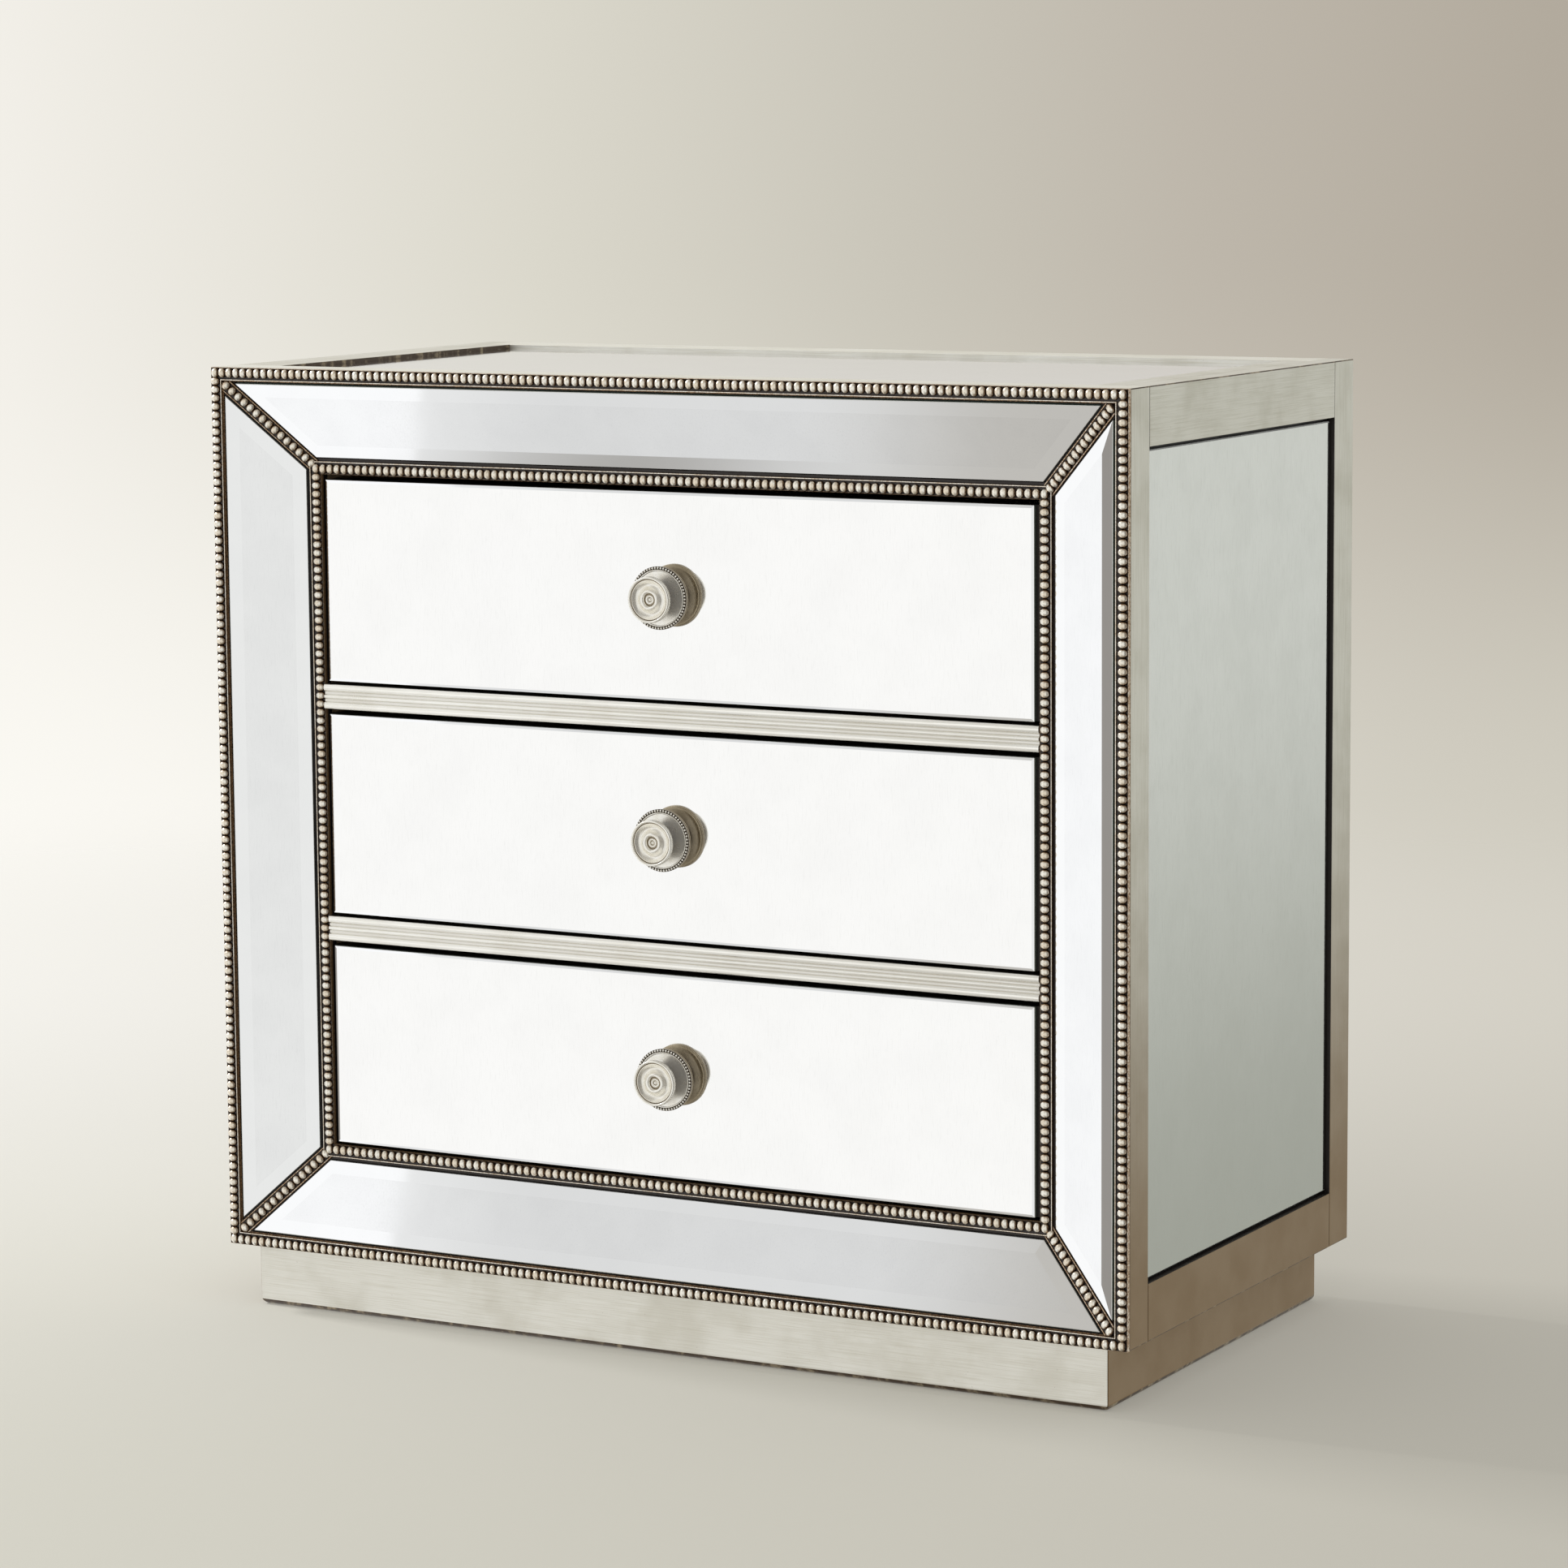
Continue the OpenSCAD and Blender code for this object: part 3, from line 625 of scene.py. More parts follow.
for node in ("bottom_board", "back_panel", "top_board", "left_backing", "right_backing"):
    eased_board(node, black, BOARD_EASE)
for node, axis in (("inner_walls", "y"), ("upper_dust_board", "x"), ("lower_dust_board", "x")):
    eased_board(node, wood[axis], BOARD_EASE)

DRAWERS = (1, 2, 3)
for k in DRAWERS:
    body = f"drawer_{k}"
    eased_board(body + "_front", black, BOARD_EASE, body)
    for part, axis, radius in (
        ("_sides", "y", BOARD_EASE), ("_back", "x", BOARD_EASE), ("_bottom", "x", BOTTOM_EASE),
    ):
        eased_board(body + part, wood[axis], radius, body)
print("carcase and drawer boxes ready")

# %% [markdown]
# The runners and screws are hidden until a drawer opens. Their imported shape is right, so they stay
# as they are and only take the steel.

# %% Runners and screws
steel_nodes = ["runner_channels"]
steel_nodes += [f"drawer_{k}_{part}" for k in DRAWERS for part in ("runners", "knob_screw")]
for node in steel_nodes:
    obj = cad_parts[node]
    for material_slot in obj.material_slots:
        material_slot.material = steel
print("steel parts:", len(steel_nodes))

# %% [markdown]
# ## Mirrors
# Every pane is packed with its bevels, so a copy with slightly ground edges is enough. The wide
# face takes the mirror, the sloping bevels a cleaner one, the arris the frost, and edges and back
# the dark rim: a face's angle to the widest face tells which. The border's bevels are made half as
# deep, which keeps the knobs out of the reflections in its right side.

# %% Panes
PANE_EASE = 0.35 * mm
SIDE_ARRIS = 0.9 * mm
SAME_WAY = math.cos(math.radians(3))
BEVEL_WAY = math.cos(math.radians(30))
ARRIS_WAY = math.cos(math.radians(60))
DEEPEST_BEVEL = 2 * mm
# The share of their depth that the border's bevels keep
BORDER_BEVEL_KEPT = 0.5
FORWARD = Vector((0, -1, 0))


def pane(node, material, towards, body="case", arris=PANE_EASE, bevel_kept=1.0):
    """A mirror pane: silvered on its wide face and bevels, frosted and dark at its rim."""
    bm = copy_of(node)
    ahead = [face for face in bm.faces if face.normal.dot(towards) > MOSTLY]
    front = max(ahead, key=lambda face: face.calc_area())
    facing, level = front.normal.copy(), front.verts[0].co.copy()
    for vert in bm.verts:
        below = (level - vert.co).dot(facing)
        if MERGE < below < DEEPEST_BEVEL:
            vert.co += facing * below * (1 - bevel_kept)
    ease(bm, arris, steps=1)
    for face in bm.faces:
        turn = face.normal.dot(facing)
        ways = [turn > SAME_WAY, turn > BEVEL_WAY, turn > ARRIS_WAY, True]
        face.material_index = ways.index(True)
    piece(node, bm, [material, bevel_glass, glass_arris, glass_edge], body)


for side, x in (("left", -1), ("right", 1)):
    pane(side + "_mirror", side_glass, Vector((x, 0, 0)), arris=SIDE_ARRIS)
pane("top_mirror", top_glass, Vector((0, 0, 1)))
for side in SIDES:
    pane("border_mirror_" + side, border_glass, FORWARD,
         bevel_kept=BORDER_BEVEL_KEPT)
for k in DRAWERS:
    pane(f"drawer_{k}_mirror", drawer_glass, FORWARD, f"drawer_{k}")
print("panes ready")

# %% [markdown]
# ## Beaded mouldings
# A beaded moulding is a milled strip with a row of beads, a narrow raised fillet beside them and a
# channel where it meets the mirror. One section, drawn from these measures, serves all four sides:
# a matrix turns the top side's drawing about the middle of the front.

# %% Measures of the mouldings
BEAD = 6.2 * mm
BEAD_ALONG = 6.7 * mm
BEAD_ACROSS = 7.6 * mm
BEAD_PITCH = 6.35 * mm
BEAD_EDGE = 4.2 * mm
STRIP = 3.3 * mm
OUTER_STRIP = 10.5 * mm
INNER_STRIP = 12 * mm
FILLET_START = 8.9 * mm
FILLET_END = 9.8 * mm
FILLET_HEIGHT = 0.9 * mm
CHANNEL = 1.6 * mm
GROOVE = 0.7 * mm
SOFT = 0.25 * mm
# How fast glaze grows from a bead's crown down to its bed and out to its outline, and the share of
# that growth across the row
DOWN_GLAZE, OUT_GLAZE, ACROSS_SHARE = 1.6, 1.5, 0.5
# How much glaze lies on the wall of a strip, and in its channel, outside and towards the drawers.
# Towards the drawers there is more, which is painted shade of the recess round them.
OUTER_WALL, INNER_WALL = 0.5, 0.65
OUTER_CHANNEL, INNER_CHANNEL = 0.65, 1.0

front_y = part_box("outer_bead_rows")[0].y
BORDER = CASE_HIGH.x - OPENING_HALF
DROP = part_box("inner_bead_rows")[0].y - front_y
SLOPE = BORDER - OUTER_STRIP - INNER_STRIP
HALF_SPAN = (CASE_HIGH.x, (CASE_HIGH.z - CASE_LOW.z) / 2)
print("border", round(BORDER / mm, 1), "mm wide, drops", round(DROP / mm, 1), "mm")


def side_matrix(side):
    """Turns the top side's drawing onto side 0 top, 1 right, 2 bottom or 3 left."""
    centre = Vector((0, front_y, MIDDLE.z))
    return Matrix.Translation(centre) @ Matrix.Rotation(side * math.pi / 2, 4, "Y")


def moulding_section(width, wall, channel):
    """Section of a moulding: distance from its bead edge, depth behind the crowns, hollow."""
    top = BEAD / 2
    fillet = top - FILLET_HEIGHT
    return [
        (0, top + 2 * SOFT, wall), (SOFT, top, 0.4), (2 * SOFT, top + SOFT / 2, 0.9),
        (BEAD_EDGE, top + GROOVE, 1.0), (FILLET_START, top + SOFT, 1.0),
        (FILLET_START, fillet + SOFT, 0.8), (FILLET_START + SOFT, fillet, 0.3),
        (FILLET_END - SOFT, fillet, 0.3), (FILLET_END, fillet + SOFT, 0.7),
        (FILLET_END, top + CHANNEL, channel), (width, top + CHANNEL, channel),
        (width, top + STRIP, 1.0), (0, top + STRIP, wall),
    ]


# %% [markdown]
# The moulding is sold in lengths and sawn at 45 degrees, and that is how it is made here: the
# section is extruded past both corners, two cuts take off the ends, and the beads are set along
# it. They are slightly oval, so that they close up, and glazed from the crown outwards.

# %% Drawing, sawing and setting beads
def drawn(points):
    """A bmesh with one corner for each point, a place and its hollow. Returns the corners too."""
    bm = bmesh.new()
    hollow = bm.verts.layers.float.new("hollow")
    corners = []
    for place, value in points:
        corner = bm.verts.new(place)
        corner[hollow] = value
        corners.append(corner)
    return bm, corners


def extruded(points, travel):
    """A section, closed from its last point to its first, drawn out along a vector."""
    bm, ring = drawn(points)
    edges = [bm.edges.new(pair) for pair in zip(ring, ring[1:] + ring[:1])]
    grown = bmesh.ops.extrude_edge_only(bm, edges=edges)["geom"]
    far = [v for v in grown if isinstance(v, bmesh.types.BMVert)]
    bmesh.ops.translate(bm, verts=far, vec=travel)
    return bm


def saw_off(bm, place, outwards):
    """Takes off all that lies outwards of a plane through a place."""
    bmesh.ops.bisect_plane(bm, geom=bm.verts[:] + bm.edges[:] + bm.faces[:], dist=MERGE,
                           plane_co=place, plane_no=outwards, clear_outer=True)


def close_ends(bm):
    """Fills both ends of a length and turns every face outwards."""
    bmesh.ops.holes_fill(bm, edges=[e for e in bm.edges if e.is_boundary], sides=0)
    bmesh.ops.recalc_face_normals(bm, faces=bm.faces)


def sawn_length(section, half, reach):
    """One length of moulding with both ends sawn at 45 degrees."""
    points = [((-half - BORDER, depth, reach - inset), value) for inset, depth, value in section]
    bm = extruded(points, (2 * (half + BORDER), 0, 0))
    for end in (-1, 1):
        saw_off(bm, (end * half, 0, reach), (end, 0, -1))
    close_ends(bm)
    return bm


def set_bead(bm, centre, outwards, row, size=(BEAD_ALONG, BEAD_ACROSS, BEAD)):
    """An oval bead. Its hollow is 0 on the crown and 1 against its neighbours and its bed."""
    hollow = bm.verts.layers.float["hollow"]
    half = [length / 2 for length in size]
    across = outwards.cross(row)
    axes = Matrix((row * half[0], across * half[1], outwards * half[2])).transposed()
    made = bmesh.ops.create_icosphere(bm, subdivisions=2, radius=1)
    for vert in made["verts"]:
        outline = OUT_GLAZE * (vert.co.x ** 2 + ACROSS_SHARE * vert.co.y ** 2) ** 2
        vert[hollow] = min(1.0, max(1 - DOWN_GLAZE * vert.co.z, outline))
        vert.co = Vector(centre) + axes @ vert.co


def merged(parts):
    """Joins several bmeshes into the first."""
    whole = parts[0]
    for part in parts[1:]:
        mesh = bpy.data.meshes.new("joined")
        part.to_mesh(mesh)
        part.free()
        whole.from_mesh(mesh)
        bpy.data.meshes.remove(mesh)
    return whole


def beaded_length(side, inset, drop, width, skip_ends):
    """A sawn length with its beads, in place on one side of the border."""
    half, reach = HALF_SPAN[side % 2], HALF_SPAN[1 - side % 2]
    flip = inset > 0
    wall, channel = (INNER_WALL, INNER_CHANNEL) if flip else (OUTER_WALL, OUTER_CHANNEL)
    section = [
        (inset - a if flip else a, depth + drop, value)
        for a, depth, value in moulding_section(width, wall, channel)
    ]
    bm = sawn_length(section, half, reach)
    line = (inset - BEAD_EDGE) if flip else BEAD_EDGE
    run = 2 * (half - line)
    count = round(run / BEAD_PITCH)
    for i in range(skip_ends, count + 1 - skip_ends):
        place = Vector((-run / 2 + i * run / count, drop + BEAD / 2, reach - line))
        set_bead(bm, place, FORWARD, Vector((1, 0, 0)))
    bmesh.ops.transform(bm, matrix=side_matrix(side), verts=bm.verts)
    return bm


print("sawing ready")

# %% [markdown]
# The outer frame lies at the edge of the case and the inner one round the drawers, its bead edge
# towards them. Where two lengths meet they share a bead, so the columns leave their ends out.

# %% Outer and inner mouldings
BEAD_SMOOTH = 40
for name, sides, inset, drop, width in (
    ("outer_bead_rows", (0, 2), 0, 0, OUTER_STRIP),
    ("outer_bead_columns", (1, 3), 0, 0, OUTER_STRIP),
    ("inner_bead_rows", (0, 2), BORDER, DROP, INNER_STRIP),
    ("inner_bead_columns", (1, 3), BORDER, DROP, INNER_STRIP),
):
    skip_ends = sides[0]
    bm = merged([beaded_length(side, inset, drop, width, skip_ends) for side in sides])
    piece(name, bm, [beaded], "case", BEAD_SMOOTH)
print("outer and inner mouldings ready")

# %% [markdown]
# The strip in each mitre runs down the valley between two sloping mirrors, from the outer corner to
# the inner one. Its section is drawn square to that line, with its own up direction, and it is sawn
# where it meets the outer mouldings. Two fillets edge it, the beads run down its middle, and the
# corner bead of an inner row ends them.

# %% Mitre strips
MITRE_STRIP = 12 * mm
MITRE_TOP = 4.5 * mm
MITRE_FILLET = 1.0 * mm
MITRE_LEDGE = 0.9 * mm
MITRE_RISE = 0.7 * mm
MITRE_SOFT = 0.2 * mm
MITRE_SKIRT, MITRE_FOOT, MITRE_KEEL = 1.2 * mm, 3.4 * mm, 4.4 * mm
SEAT = BEAD / 2 + STRIP
FALL = DROP / SLOPE


def mitre_section():
    """Section of a mitre strip: distance from its middle line, height above it, hollow."""
    half = MITRE_STRIP / 2
    fillet = half - MITRE_LEDGE
    bed = fillet - MITRE_FILLET
    rise, soft, skirt = MITRE_RISE, MITRE_SOFT, -MITRE_SKIRT
    right = [
        (0, -GROOVE, 1.0), (bed - soft / 2, 0, 1.0),
        (bed, rise - soft, 0.8), (bed + soft, rise, 0.5),
        (fillet - soft, rise, 0.5), (fillet, rise - soft, 0.6), (fillet, skirt, 1.0),
        (half, skirt, 1.0), (half, -MITRE_FOOT, 1.0), (0, -MITRE_KEEL, 1.0),
    ]
    left = [(-s, height, value) for s, height, value in reversed(right[1:-1])]
    return right + left


def mitre_strip(side):
    """The beaded strip in the valley at the far end of one side."""
    half, reach = HALF_SPAN[side % 2], HALF_SPAN[1 - side % 2]
    start, first, end = OUTER_STRIP, OUTER_STRIP + BEAD / 2, BORDER - BEAD_EDGE

    def on_line(inset):
        """The middle of the strip, at a distance in from the outer corner."""
        depth = SEAT - MITRE_TOP + (inset - OUTER_STRIP) * FALL
        return Vector((half - inset, depth, reach - inset))

    run = (on_line(end) - on_line(start)).normalized()
    across = Vector((1, 0, -1)).normalized()
    up = run.cross(across).normalized()
    if up.y > 0:
        up = -up
    origin = on_line(start - BEAD)
    points = [(origin + across * s + up * height, value) for s, height, value in mitre_section()]
    bm = extruded(points, on_line(end - BEAD / 4) - origin)
    for outwards in ((1, 0, 0), (0, 0, 1)):
        saw_off(bm, on_line(start), outwards)
    close_ends(bm)
    count = round((on_line(end) - on_line(first)).length / BEAD_PITCH)
    for i in range(count):
        set_bead(bm, on_line(first + (end - first) * i / count), up, run)
    bmesh.ops.transform(bm, matrix=side_matrix(side), verts=bm.verts)
    return bm


piece("mitre_beads", merged([mitre_strip(side) for side in range(4)]), [beaded], "case",
      BEAD_SMOOTH)
print("mitre strips ready")

# %% [markdown]
# ## Reeded rails
# A rail between two drawers is milled with two wide reeds, a narrow one and shallow coves, where a
# little toner gathered. Reeds and coves are ovals, so one helper gives the points along an oval
# arc, and the section is extruded across the opening.

# %% Reeded rails
REED = 2.7 * mm
MID_REED = 1.5 * mm
REED_HEIGHT = 1.5 * mm
MID_REED_HEIGHT = 0.75 * REED_HEIGHT
COVE_DEPTH = 0.4 * mm
# How much toner a cove holds, and how much lies where a reed meets it
COVE_TONER, REED_TONER = 0.42, 0.3
ARC_STEPS = 10
RAIL_SMOOTH = 50
# A rail's top and bottom look this much up or down, and behind the reeds they are black
LEVEL_WAY, RAIL_BLACK = 0.9, 1


def arc_points(centre, radii, start, end, steps=ARC_STEPS):
    """Points along an oval arc, from one angle to another in degrees."""
    points = []
    for i in range(steps + 1):
        angle = math.radians(start + (end - start) * i / steps)
        across, upwards = radii[0] * math.cos(angle), radii[1] * math.sin(angle)
        points.append((centre[0] + across, centre[1] + upwards))
    return points


def rail_section(height, depth):
    """Section of a rail: distance back from its crowns, height and hollow."""
    reeds = [(REED, REED, REED_HEIGHT), (height / 2, MID_REED, MID_REED_HEIGHT),
             (height - REED, REED, REED_HEIGHT)]
    section = []
    for middle, half, rise in reeds:
        if section:
            start = section[-1][1]
            cove = (middle - half - start) / 2
            centre, radii = (REED_HEIGHT, start + cove), (COVE_DEPTH, cove)
            for back, level in arc_points(centre, radii, -80, 80, 6):
                section.append((back, level, COVE_TONER))
        for back, level in arc_points((REED_HEIGHT, middle), (rise, half), 270, 90):
            section.append((back, level, REED_TONER * (back / REED_HEIGHT) ** 2))
    return section + [(depth, height, 1.0), (depth, 0, 1.0)]


def reeded_rail(node):
    """A rail whose front carries three reeds."""
    low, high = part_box(node)
    length, depth, height = high - low
    bm = extruded([
        ((low.x, low.y + back, low.z + level), value)
        for back, level, value in rail_section(height, depth)
    ], (length, 0, 0))
    close_ends(bm)
    for face in bm.faces:
        behind_reeds = face.calc_center_median().y > low.y + 2 * REED_HEIGHT
        if abs(face.normal.z) > LEVEL_WAY and behind_reeds:
            face.material_index = RAIL_BLACK
    piece(node, bm, [rail_leaf, black], "case", RAIL_SMOOTH)


for node in ("upper_rail", "lower_rail"):
    reeded_rail(node)
print("reeded rails ready")

# %% [markdown]
# ## Knobs
# From the mirror out, a knob has a small base plate, a cove and a roll, a ring of tiny beads, a
# hollow shoulder, a collar and waist, and a dished face with a raised ring and a button. It is
# turned, so half of its outline is enough. The grooves carry the "hollow" value that darkens them;
# under the disc, by the neck and under the face it is painted shade.

# %% Knob outline
# In mm, as a turner would note them: heights from the mirror out, and radii from the axis
KNOB_LENGTH = 28
KNOB_LIP = KNOB_LENGTH - 4
DISC_HEIGHT = 12.5
KNOB_COLLAR, KNOB_WAIST, KNOB_FLARE = DISC_HEIGHT + 3.2, DISC_HEIGHT + 6.5, DISC_HEIGHT + 8.9
KNOB_FACE = 17
KNOB_DISC = 22
KNOB_BASE = 15.5
KNOB_NECK = 5.8
KNOB_RING = 6.2
KNOB_BEAD = 2.1
KNOB_BEADS = 60
KNOB_SEAT = KNOB_BEAD * 0.55
DISH_EDGE, DISH_DEPTH, DISH_STEPS = 1.3, 2.7, 12
SPIN_STEPS = 72
KNOB_SMOOTH = 50


def rounded(centre, radius, start, end, steps=8, hollow=0.0):
    """Points round a centre, from one angle to another, with one hollow value."""
    return [(r, h, hollow) for r, h in arc_points(centre, (radius, radius), start, end, steps)]


def sweep(first, last, bends, steps, hollow):
    """Points from one to another, each measure bent by its own power, and shaded by hollow."""
    points = []
    for i in range(steps + 1):
        share = i / steps
        radius, height = [a + (b - a) * share ** bend for a, b, bend in zip(first, last, bends)]
        points.append((radius, height, hollow(share)))
    return points


def dish(first, last):
    """Points across the dish of the face, from its outer radius to its inner one."""
    points = []
    for i in range(DISH_STEPS + 1):
        deep = math.sin(math.pi * i / DISH_STEPS)
        height = KNOB_LENGTH - DISH_EDGE - DISH_DEPTH * deep
        points.append((first + (last - first) * i / DISH_STEPS, height, 0.3 * deep))
    return points


def knob_outline():
    """Half outline of a knob in mm: radius, height above the mirror, hollow."""
    base, disc, seat, neck, face = KNOB_BASE, KNOB_DISC, KNOB_SEAT, KNOB_NECK, KNOB_FACE
    level, end, lip = DISC_HEIGHT, KNOB_LENGTH, KNOB_LIP
    return [
        # The base plate, the cove and the roll, darkened under the disc as painted shade
        (0, 0, 1.0), (base, 0, 0.9), (base, 1.3, 0.6), (base - 0.6, 2.0, 0.6),
        *sweep((base - 1.8, 2), (disc - 1.2, level - 4.8), (2, 1), 8,
               lambda share: 0.9 - 0.2 * share),
        *rounded((disc - 0.6, level - 3.3), 1.5, -80, 80, hollow=0.62),
        # The seat of the tiny beads
        (disc - 0.4, level - 1.8, 1.0), (disc + seat - 0.2, level - 1.4, 0.5),
        (disc + seat, level - 1.1, 0.2), (disc + seat, level - 0.2, 0.9),
        (disc - seat, level - 0.1, 1.0), (disc - seat, level + 0.4, 0.8),
        (disc - seat - 0.3, level + 0.6, 0.0), (disc - seat - 0.9, level + 0.5, 0.1),
        # The hollow shoulder, the collar, the waist and the flare up to the face
        # Painted shade darkens the shoulder near the neck, the waist, and the flare under the face
        *sweep((disc - seat - 1.2, level), (neck + 2.4, KNOB_COLLAR - 1.2), (1, 2), 10,
               lambda share: 0.65 * share ** 4),
        *rounded((neck + 1.2, KNOB_COLLAR), 1.2, -80, 80, hollow=0.1),
        *rounded((neck + 3, KNOB_WAIST), 3, 220, 140, hollow=1.0),
        *sweep((neck + 0.6, KNOB_FLARE), (face - 1.2, lip - 0.6), (1.5, 1), 8,
               lambda share: 1.0 - 0.15 * share),
        # The rim, and the dish within a narrow groove
        (face - 0.6, lip, 0.7), (face, lip + 0.6, 0.1),
        *rounded((face - 0.9, end - 0.9), 0.9, 0, 180),
        (face - 2.0, end - 1.4, 1.0), (face - 2.6, end - 1.3, 0.5),
        *dish(face - 2.9, KNOB_RING + 1.4),
        # The raised ring, a smaller one within it, and the button
        *rounded((KNOB_RING, end - 2.2), 1.4, 30, 165),
        (4.4, end - 3.2, 0.8), (3.6, end - 3.2, 0.7),
        *rounded((2.7, end - 3.0), 0.8, 20, 160, 5), (1.7, end - 3.3, 0.9),
        *rounded((0, end - 3.5), 1.4, 20, 80, 4), (0, end - 2.1, 0.0),
    ]


print("knob outline:", len(knob_outline()), "points")

# %% [markdown]
# The outline is spun about its axis, as on the lathe, and the beads are set round the disc. Then
# the knob stands on its mirror, which doubles the cove and the roll behind the beads.

# %% Knobs
def knob(k):
    """One knob, spun about its axis on the mirror of drawer k."""
    bm, line = drawn([
        ((radius * mm, 0, height * mm), value) for radius, height, value in knob_outline()
    ])
    edges = [bm.edges.new(pair) for pair in zip(line, line[1:])]
    bmesh.ops.spin(bm, geom=line + edges, cent=(0, 0, 0), axis=(0, 0, 1), angle=2 * math.pi,
                   steps=SPIN_STEPS, use_merge=True)
    bmesh.ops.remove_doubles(bm, verts=bm.verts, dist=MERGE)
    bmesh.ops.recalc_face_normals(bm, faces=bm.faces)
    size = [KNOB_BEAD * mm] * 3
    for i in range(KNOB_BEADS):
        turn = Matrix.Rotation(2 * math.pi * i / KNOB_BEADS, 4, "Z")
        centre = turn @ Vector((KNOB_DISC * mm, 0, DISC_HEIGHT * mm))
        set_bead(bm, centre, Vector((0, 0, 1)), turn @ Vector((0, 1, 0)), size)
    node = f"drawer_{k}_knob"
    low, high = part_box(node)
    axis = Vector(((low.x + high.x) / 2, high.y, (low.z + high.z) / 2))
    stand = Matrix.Translation(axis) @ Matrix.Rotation(math.pi / 2, 4, "X")
    bmesh.ops.transform(bm, matrix=stand, verts=bm.verts)
    piece(node, bm, [knob_silver], f"drawer_{k}", KNOB_SMOOTH)


for k in DRAWERS:
    knob(k)
print("knobs ready")

# %% [markdown]
# ## Floor
# The floor is a pale painted disc that fades out before its rim, so that no horizon shows. It is
# hidden from reflected rays, which see only the world.

# %% Floor
FLOOR_RADIUS = 3.2
FLOOR_SIDES = 96
FADE_START, FADE_END = 1.9, 3.0
# The floor glows a little in its own colour, a painted light that keeps its shadows pale
FLOOR_GLOW = 0.34
# Where its paint changes, in metres across the photograph and away from the camera
FLOOR_LEFT, FLOOR_RIGHT = -0.9, 1.0
FLOOR_NEAR, FLOOR_FAR = -0.9, 1.5
ACROSS = Vector((math.cos(math.radians(CAMERA_TURN)), math.sin(math.radians(CAMERA_TURN)), 0))
AWAY = Vector((-ACROSS.y, ACROSS.x, 0))


def along_direction(tree, vector, direction):
    """How far a position or direction lies along a fixed direction."""
    return add(tree, "ShaderNodeVectorMath", {0: vector, 1: direction},
               operation="DOT_PRODUCT").outputs["Value"]


def mix_shaders(tree, factor, first, second):
    """The first shader where the factor is 0, and the second where it is 1."""
    return add(tree, "ShaderNodeMixShader", {0: factor, 1: first, 2: second}).outputs["Shader"]


floor_paint, tree = empty_material("studio_floor")
place = place_on_piece(tree)
sideways = between(tree, along_direction(tree, place, ACROSS), FLOOR_LEFT, FLOOR_RIGHT)
depth = between(tree, along_direction(tree, place, AWAY), FLOOR_NEAR, FLOOR_FAR)
# The paint is lighter to the left and further back, painted light
near = blend_colours(tree, sideways, "#D9D7CB", "#C3BFB3")
far = blend_colours(tree, sideways, "#E8E6E0", "#D8D4C9")
colour = blend_colours(tree, depth, near, far)
paint = mix_shaders(
    tree, FLOOR_GLOW,
    add(tree, "ShaderNodeBsdfDiffuse", {"Color": colour}).outputs["BSDF"],
    add(tree, "ShaderNodeEmission", {"Color": colour, "Strength": 1.0}).outputs["Emission"],
)
distance = add(tree, "ShaderNodeVectorMath", {0: place}, operation="LENGTH").outputs["Value"]
clear = add(tree, "ShaderNodeBsdfTransparent").outputs["BSDF"]
faded = mix_shaders(tree, between(tree, distance, FADE_START, FADE_END), paint, clear)
add(tree, "ShaderNodeOutputMaterial", {"Surface": faded})

floor_bm = bmesh.new()
bmesh.ops.create_circle(floor_bm, cap_ends=True, segments=FLOOR_SIDES, radius=FLOOR_RADIUS)
floor_mesh = bpy.data.meshes.new("studio_floor")
floor_bm.to_mesh(floor_mesh)
floor_bm.free()
floor_mesh.materials.append(floor_paint)
floor = bpy.data.objects.new("studio_floor", floor_mesh)
scene.collection.objects.link(floor)
floor.visible_glossy = False
print("floor ready")

# %% [markdown]
# ## World
# Mirrors show the room, so the room matters as much as the chest. The wall behind the chest goes
# from cream on the left to warm grey on the right. Reflected rays see a room whose colours depend
# only on the way a ray points, and a plain white sky lights the chest.

# %% World
SKY_STRENGTH = 0.71
# Wall colours against how far a ray points across the photograph, from -1 at the left to 1
WALL_STOPS = [
    (-1.0, "#FFFFFF"), (-0.45, "#FBFAF7"), (-0.15, "#F2EFE8"), (-0.05, "#DBD8CC"),
    (0.02, "#CAC6BA"), (0.08, "#BEB7AB"), (0.15, "#B2AA9D"), (0.45, "#BFBDB4"), (0.8, "#DADCD6"),
    (1.0, "#DCDCD8"),
]
# How far the edges of the white screen and of the wall beside it lean, per unit of height
SCREEN_LEAN, PARTITION_LEAN = 0.0057, 0.02

world = bpy.data.worlds.new("studio_world")
world.use_nodes = True
scene.world = world
tree = world.node_tree
tree.nodes.clear()
direction = add(tree, "ShaderNodeTexCoord").outputs["Generated"]
height = height_of(tree, direction)
across = along_direction(tree, direction, ACROSS)
away = along_direction(tree, direction, AWAY)
ramp_place = add(tree, "ShaderNodeMapRange", {"Value": across, "From Min": -1.0, "From Max": 1.0})
wall = add(tree, "ShaderNodeValToRGB", {"Fac": ramp_place.outputs["Result"]})
ramp = wall.color_ramp
while len(ramp.elements) < len(WALL_STOPS):
    ramp.elements.new(0.5)
for element, (position, colour) in zip(ramp.elements, WALL_STOPS):
    element.position = (position + 1) / 2
    element.color = linear(colour)

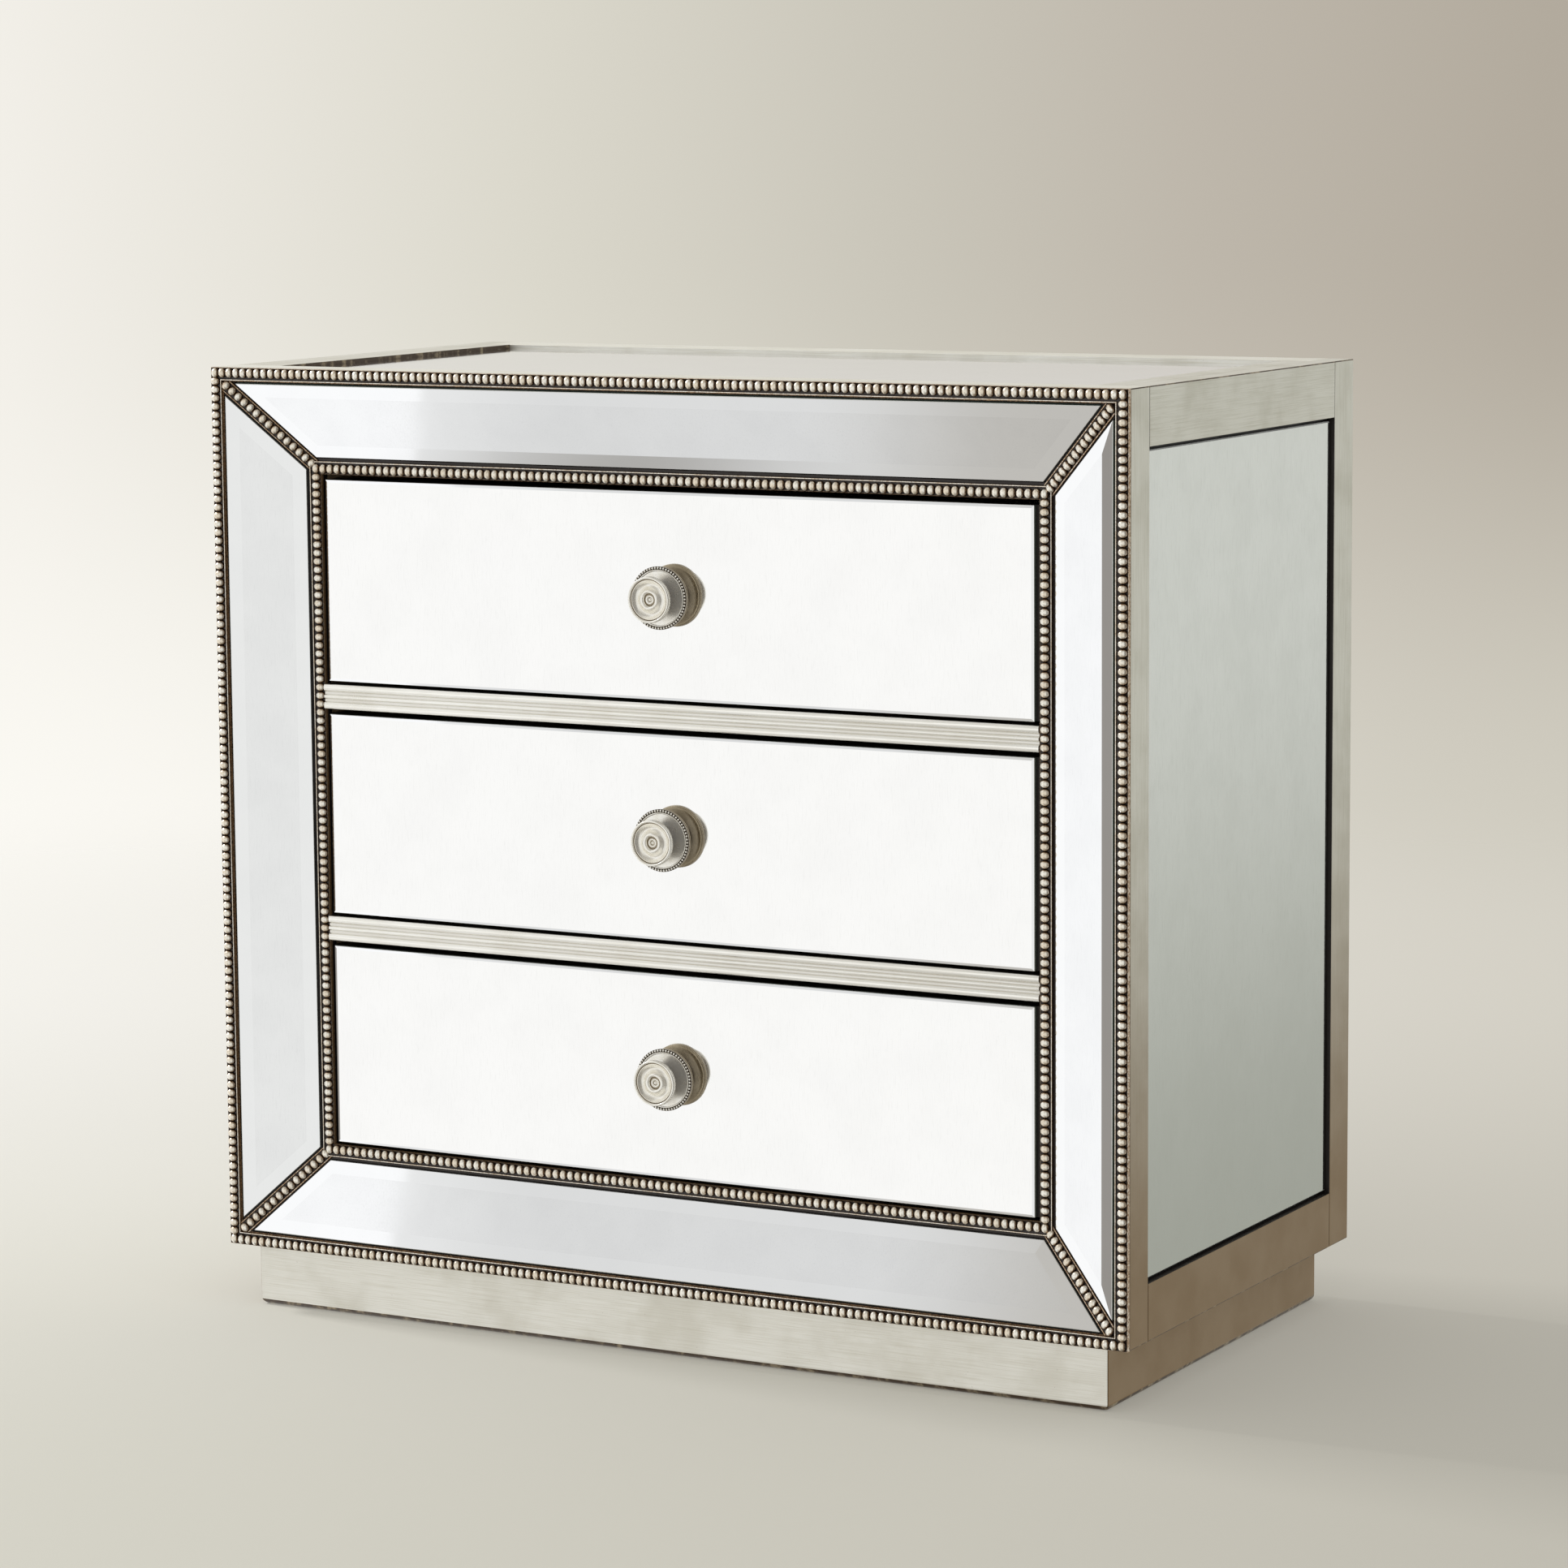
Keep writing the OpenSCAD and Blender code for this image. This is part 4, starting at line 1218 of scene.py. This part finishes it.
# The foot of the wall, straight behind the chest, takes some light from the floor
foot = blend_colours(tree, between(tree, across, -0.16, 0.16), "#FBF9F3", "#D0CCC0")
backdrop = layered(
    tree, wall.outputs["Color"],
    (foot, (height, -0.15, -0.03, 1.0, 0.0), (away, 0.85, 0.95)),
)

# What tilted mirrors find in front of the chest: a white screen far to the left, then walls that go
# from pale to grey, and a darker band low down
screen = along_direction(tree, direction, (1, 0, -SCREEN_LEAN))
partition = along_direction(tree, direction, (1, 0, -PARTITION_LEAN))
front_wall = layered(
    tree, "#FFFFFF",
    ("#EAEAE9", (screen, -0.5372, -0.535)),
    ("#DFDFDE", (screen, -0.534, -0.515)),
    ("#C2BFB9", (partition, -0.465, -0.421)),
    ("#A3A09B", (height, -0.745, -0.72, 1.0, 0.0), (screen, -0.5, -0.455, 0.8, 0.0)),
)

# All that mirrors, beads and knobs see. Each line is a part of the room: its colour, and the
# directions in which it lies
steepness = calculate(tree, "ABSOLUTE", height)
tilted = calculate(tree, "MAXIMUM", between(tree, height, -0.36, -0.25, 1.0, 0.0),
                   between(tree, height, 0.12, 0.22))
mirrored_room = layered(
    tree, backdrop,
    # the upper wall behind the chest, which the top mirror shows
    ("#EAE8E3", (away, 0.85, 0.93), (height, 0.02, 0.08, 0.0, 0.85)),
    # the front wall, which the sloping border mirrors show
    (front_wall, tilted, (away, -0.1, 0.1, 1.0, 0.0)),
    # the dim ceiling
    ("#2A231C", (height, 0.72, 0.95, 0.0, 0.4)),
    # the shade under the chest
    ("#3A3026", (height, -0.95, -0.8, 0.85, 0.0)),
    # the white wall behind the camera, which beads and knobs show
    ("#ECECEA", (away, -0.82, -0.68, 1.0, 0.0)),
    # the dark part of the room at the right, in front of the chest
    ("#40352B", (away, -0.5, -0.1, 1.0, 0.0), (across, 0.08, 0.4, 0.0, 0.9)),
    # the grey curtain at the left
    ("#857F78", (away, 0.13, 0.175, 1.0, 0.0), (away, -0.06, 0.02),
     (across, -0.95, -0.75, 0.9, 0.0), (steepness, 0.25, 0.36, 1.0, 0.0)),
)

# Rays that light the chest meet the plain sky, and all others the room or its wall
rays = add(tree, "ShaderNodeLightPath")
is_glossy = rays.outputs["Is Glossy Ray"]
surroundings = blend_colours(tree, is_glossy, backdrop, mirrored_room)
seen = calculate(tree, "MAXIMUM", rays.outputs["Is Camera Ray"], is_glossy)
seen = calculate(tree, "MAXIMUM", seen, rays.outputs["Is Transmission Ray"])
sky = add(tree, "ShaderNodeBackground", {"Color": linear("#FFFFFF"), "Strength": SKY_STRENGTH})
room = add(tree, "ShaderNodeBackground", {"Color": surroundings, "Strength": 1.0})
add(tree, "ShaderNodeOutputWorld", {
    "Surface": mix_shaders(tree, seen, sky.outputs["Background"], room.outputs["Background"]),
})
print("world ready")

# %% [markdown]
# ## Lamp
# A small lamp far to the left throws the soft shadow to the right.

# %% Lamp
LAMP_PLACE, LAMP_AIM = Vector((-4.5, 0, 3.3)), Vector((0, 0, 0.2))
LAMP_SIZE = 0.75
LAMP_POWER = 150

lamp_data = bpy.data.lights.new("side_lamp", "AREA")
lamp_data.shape = "SQUARE"
lamp_data.size = LAMP_SIZE
lamp_data.energy = LAMP_POWER
lamp = bpy.data.objects.new("side_lamp", lamp_data)
scene.collection.objects.link(lamp)
lamp.location = LAMP_PLACE
lamp.rotation_euler = (LAMP_PLACE - LAMP_AIM).to_track_quat("Z", "Y").to_euler()
print("lamp ready")
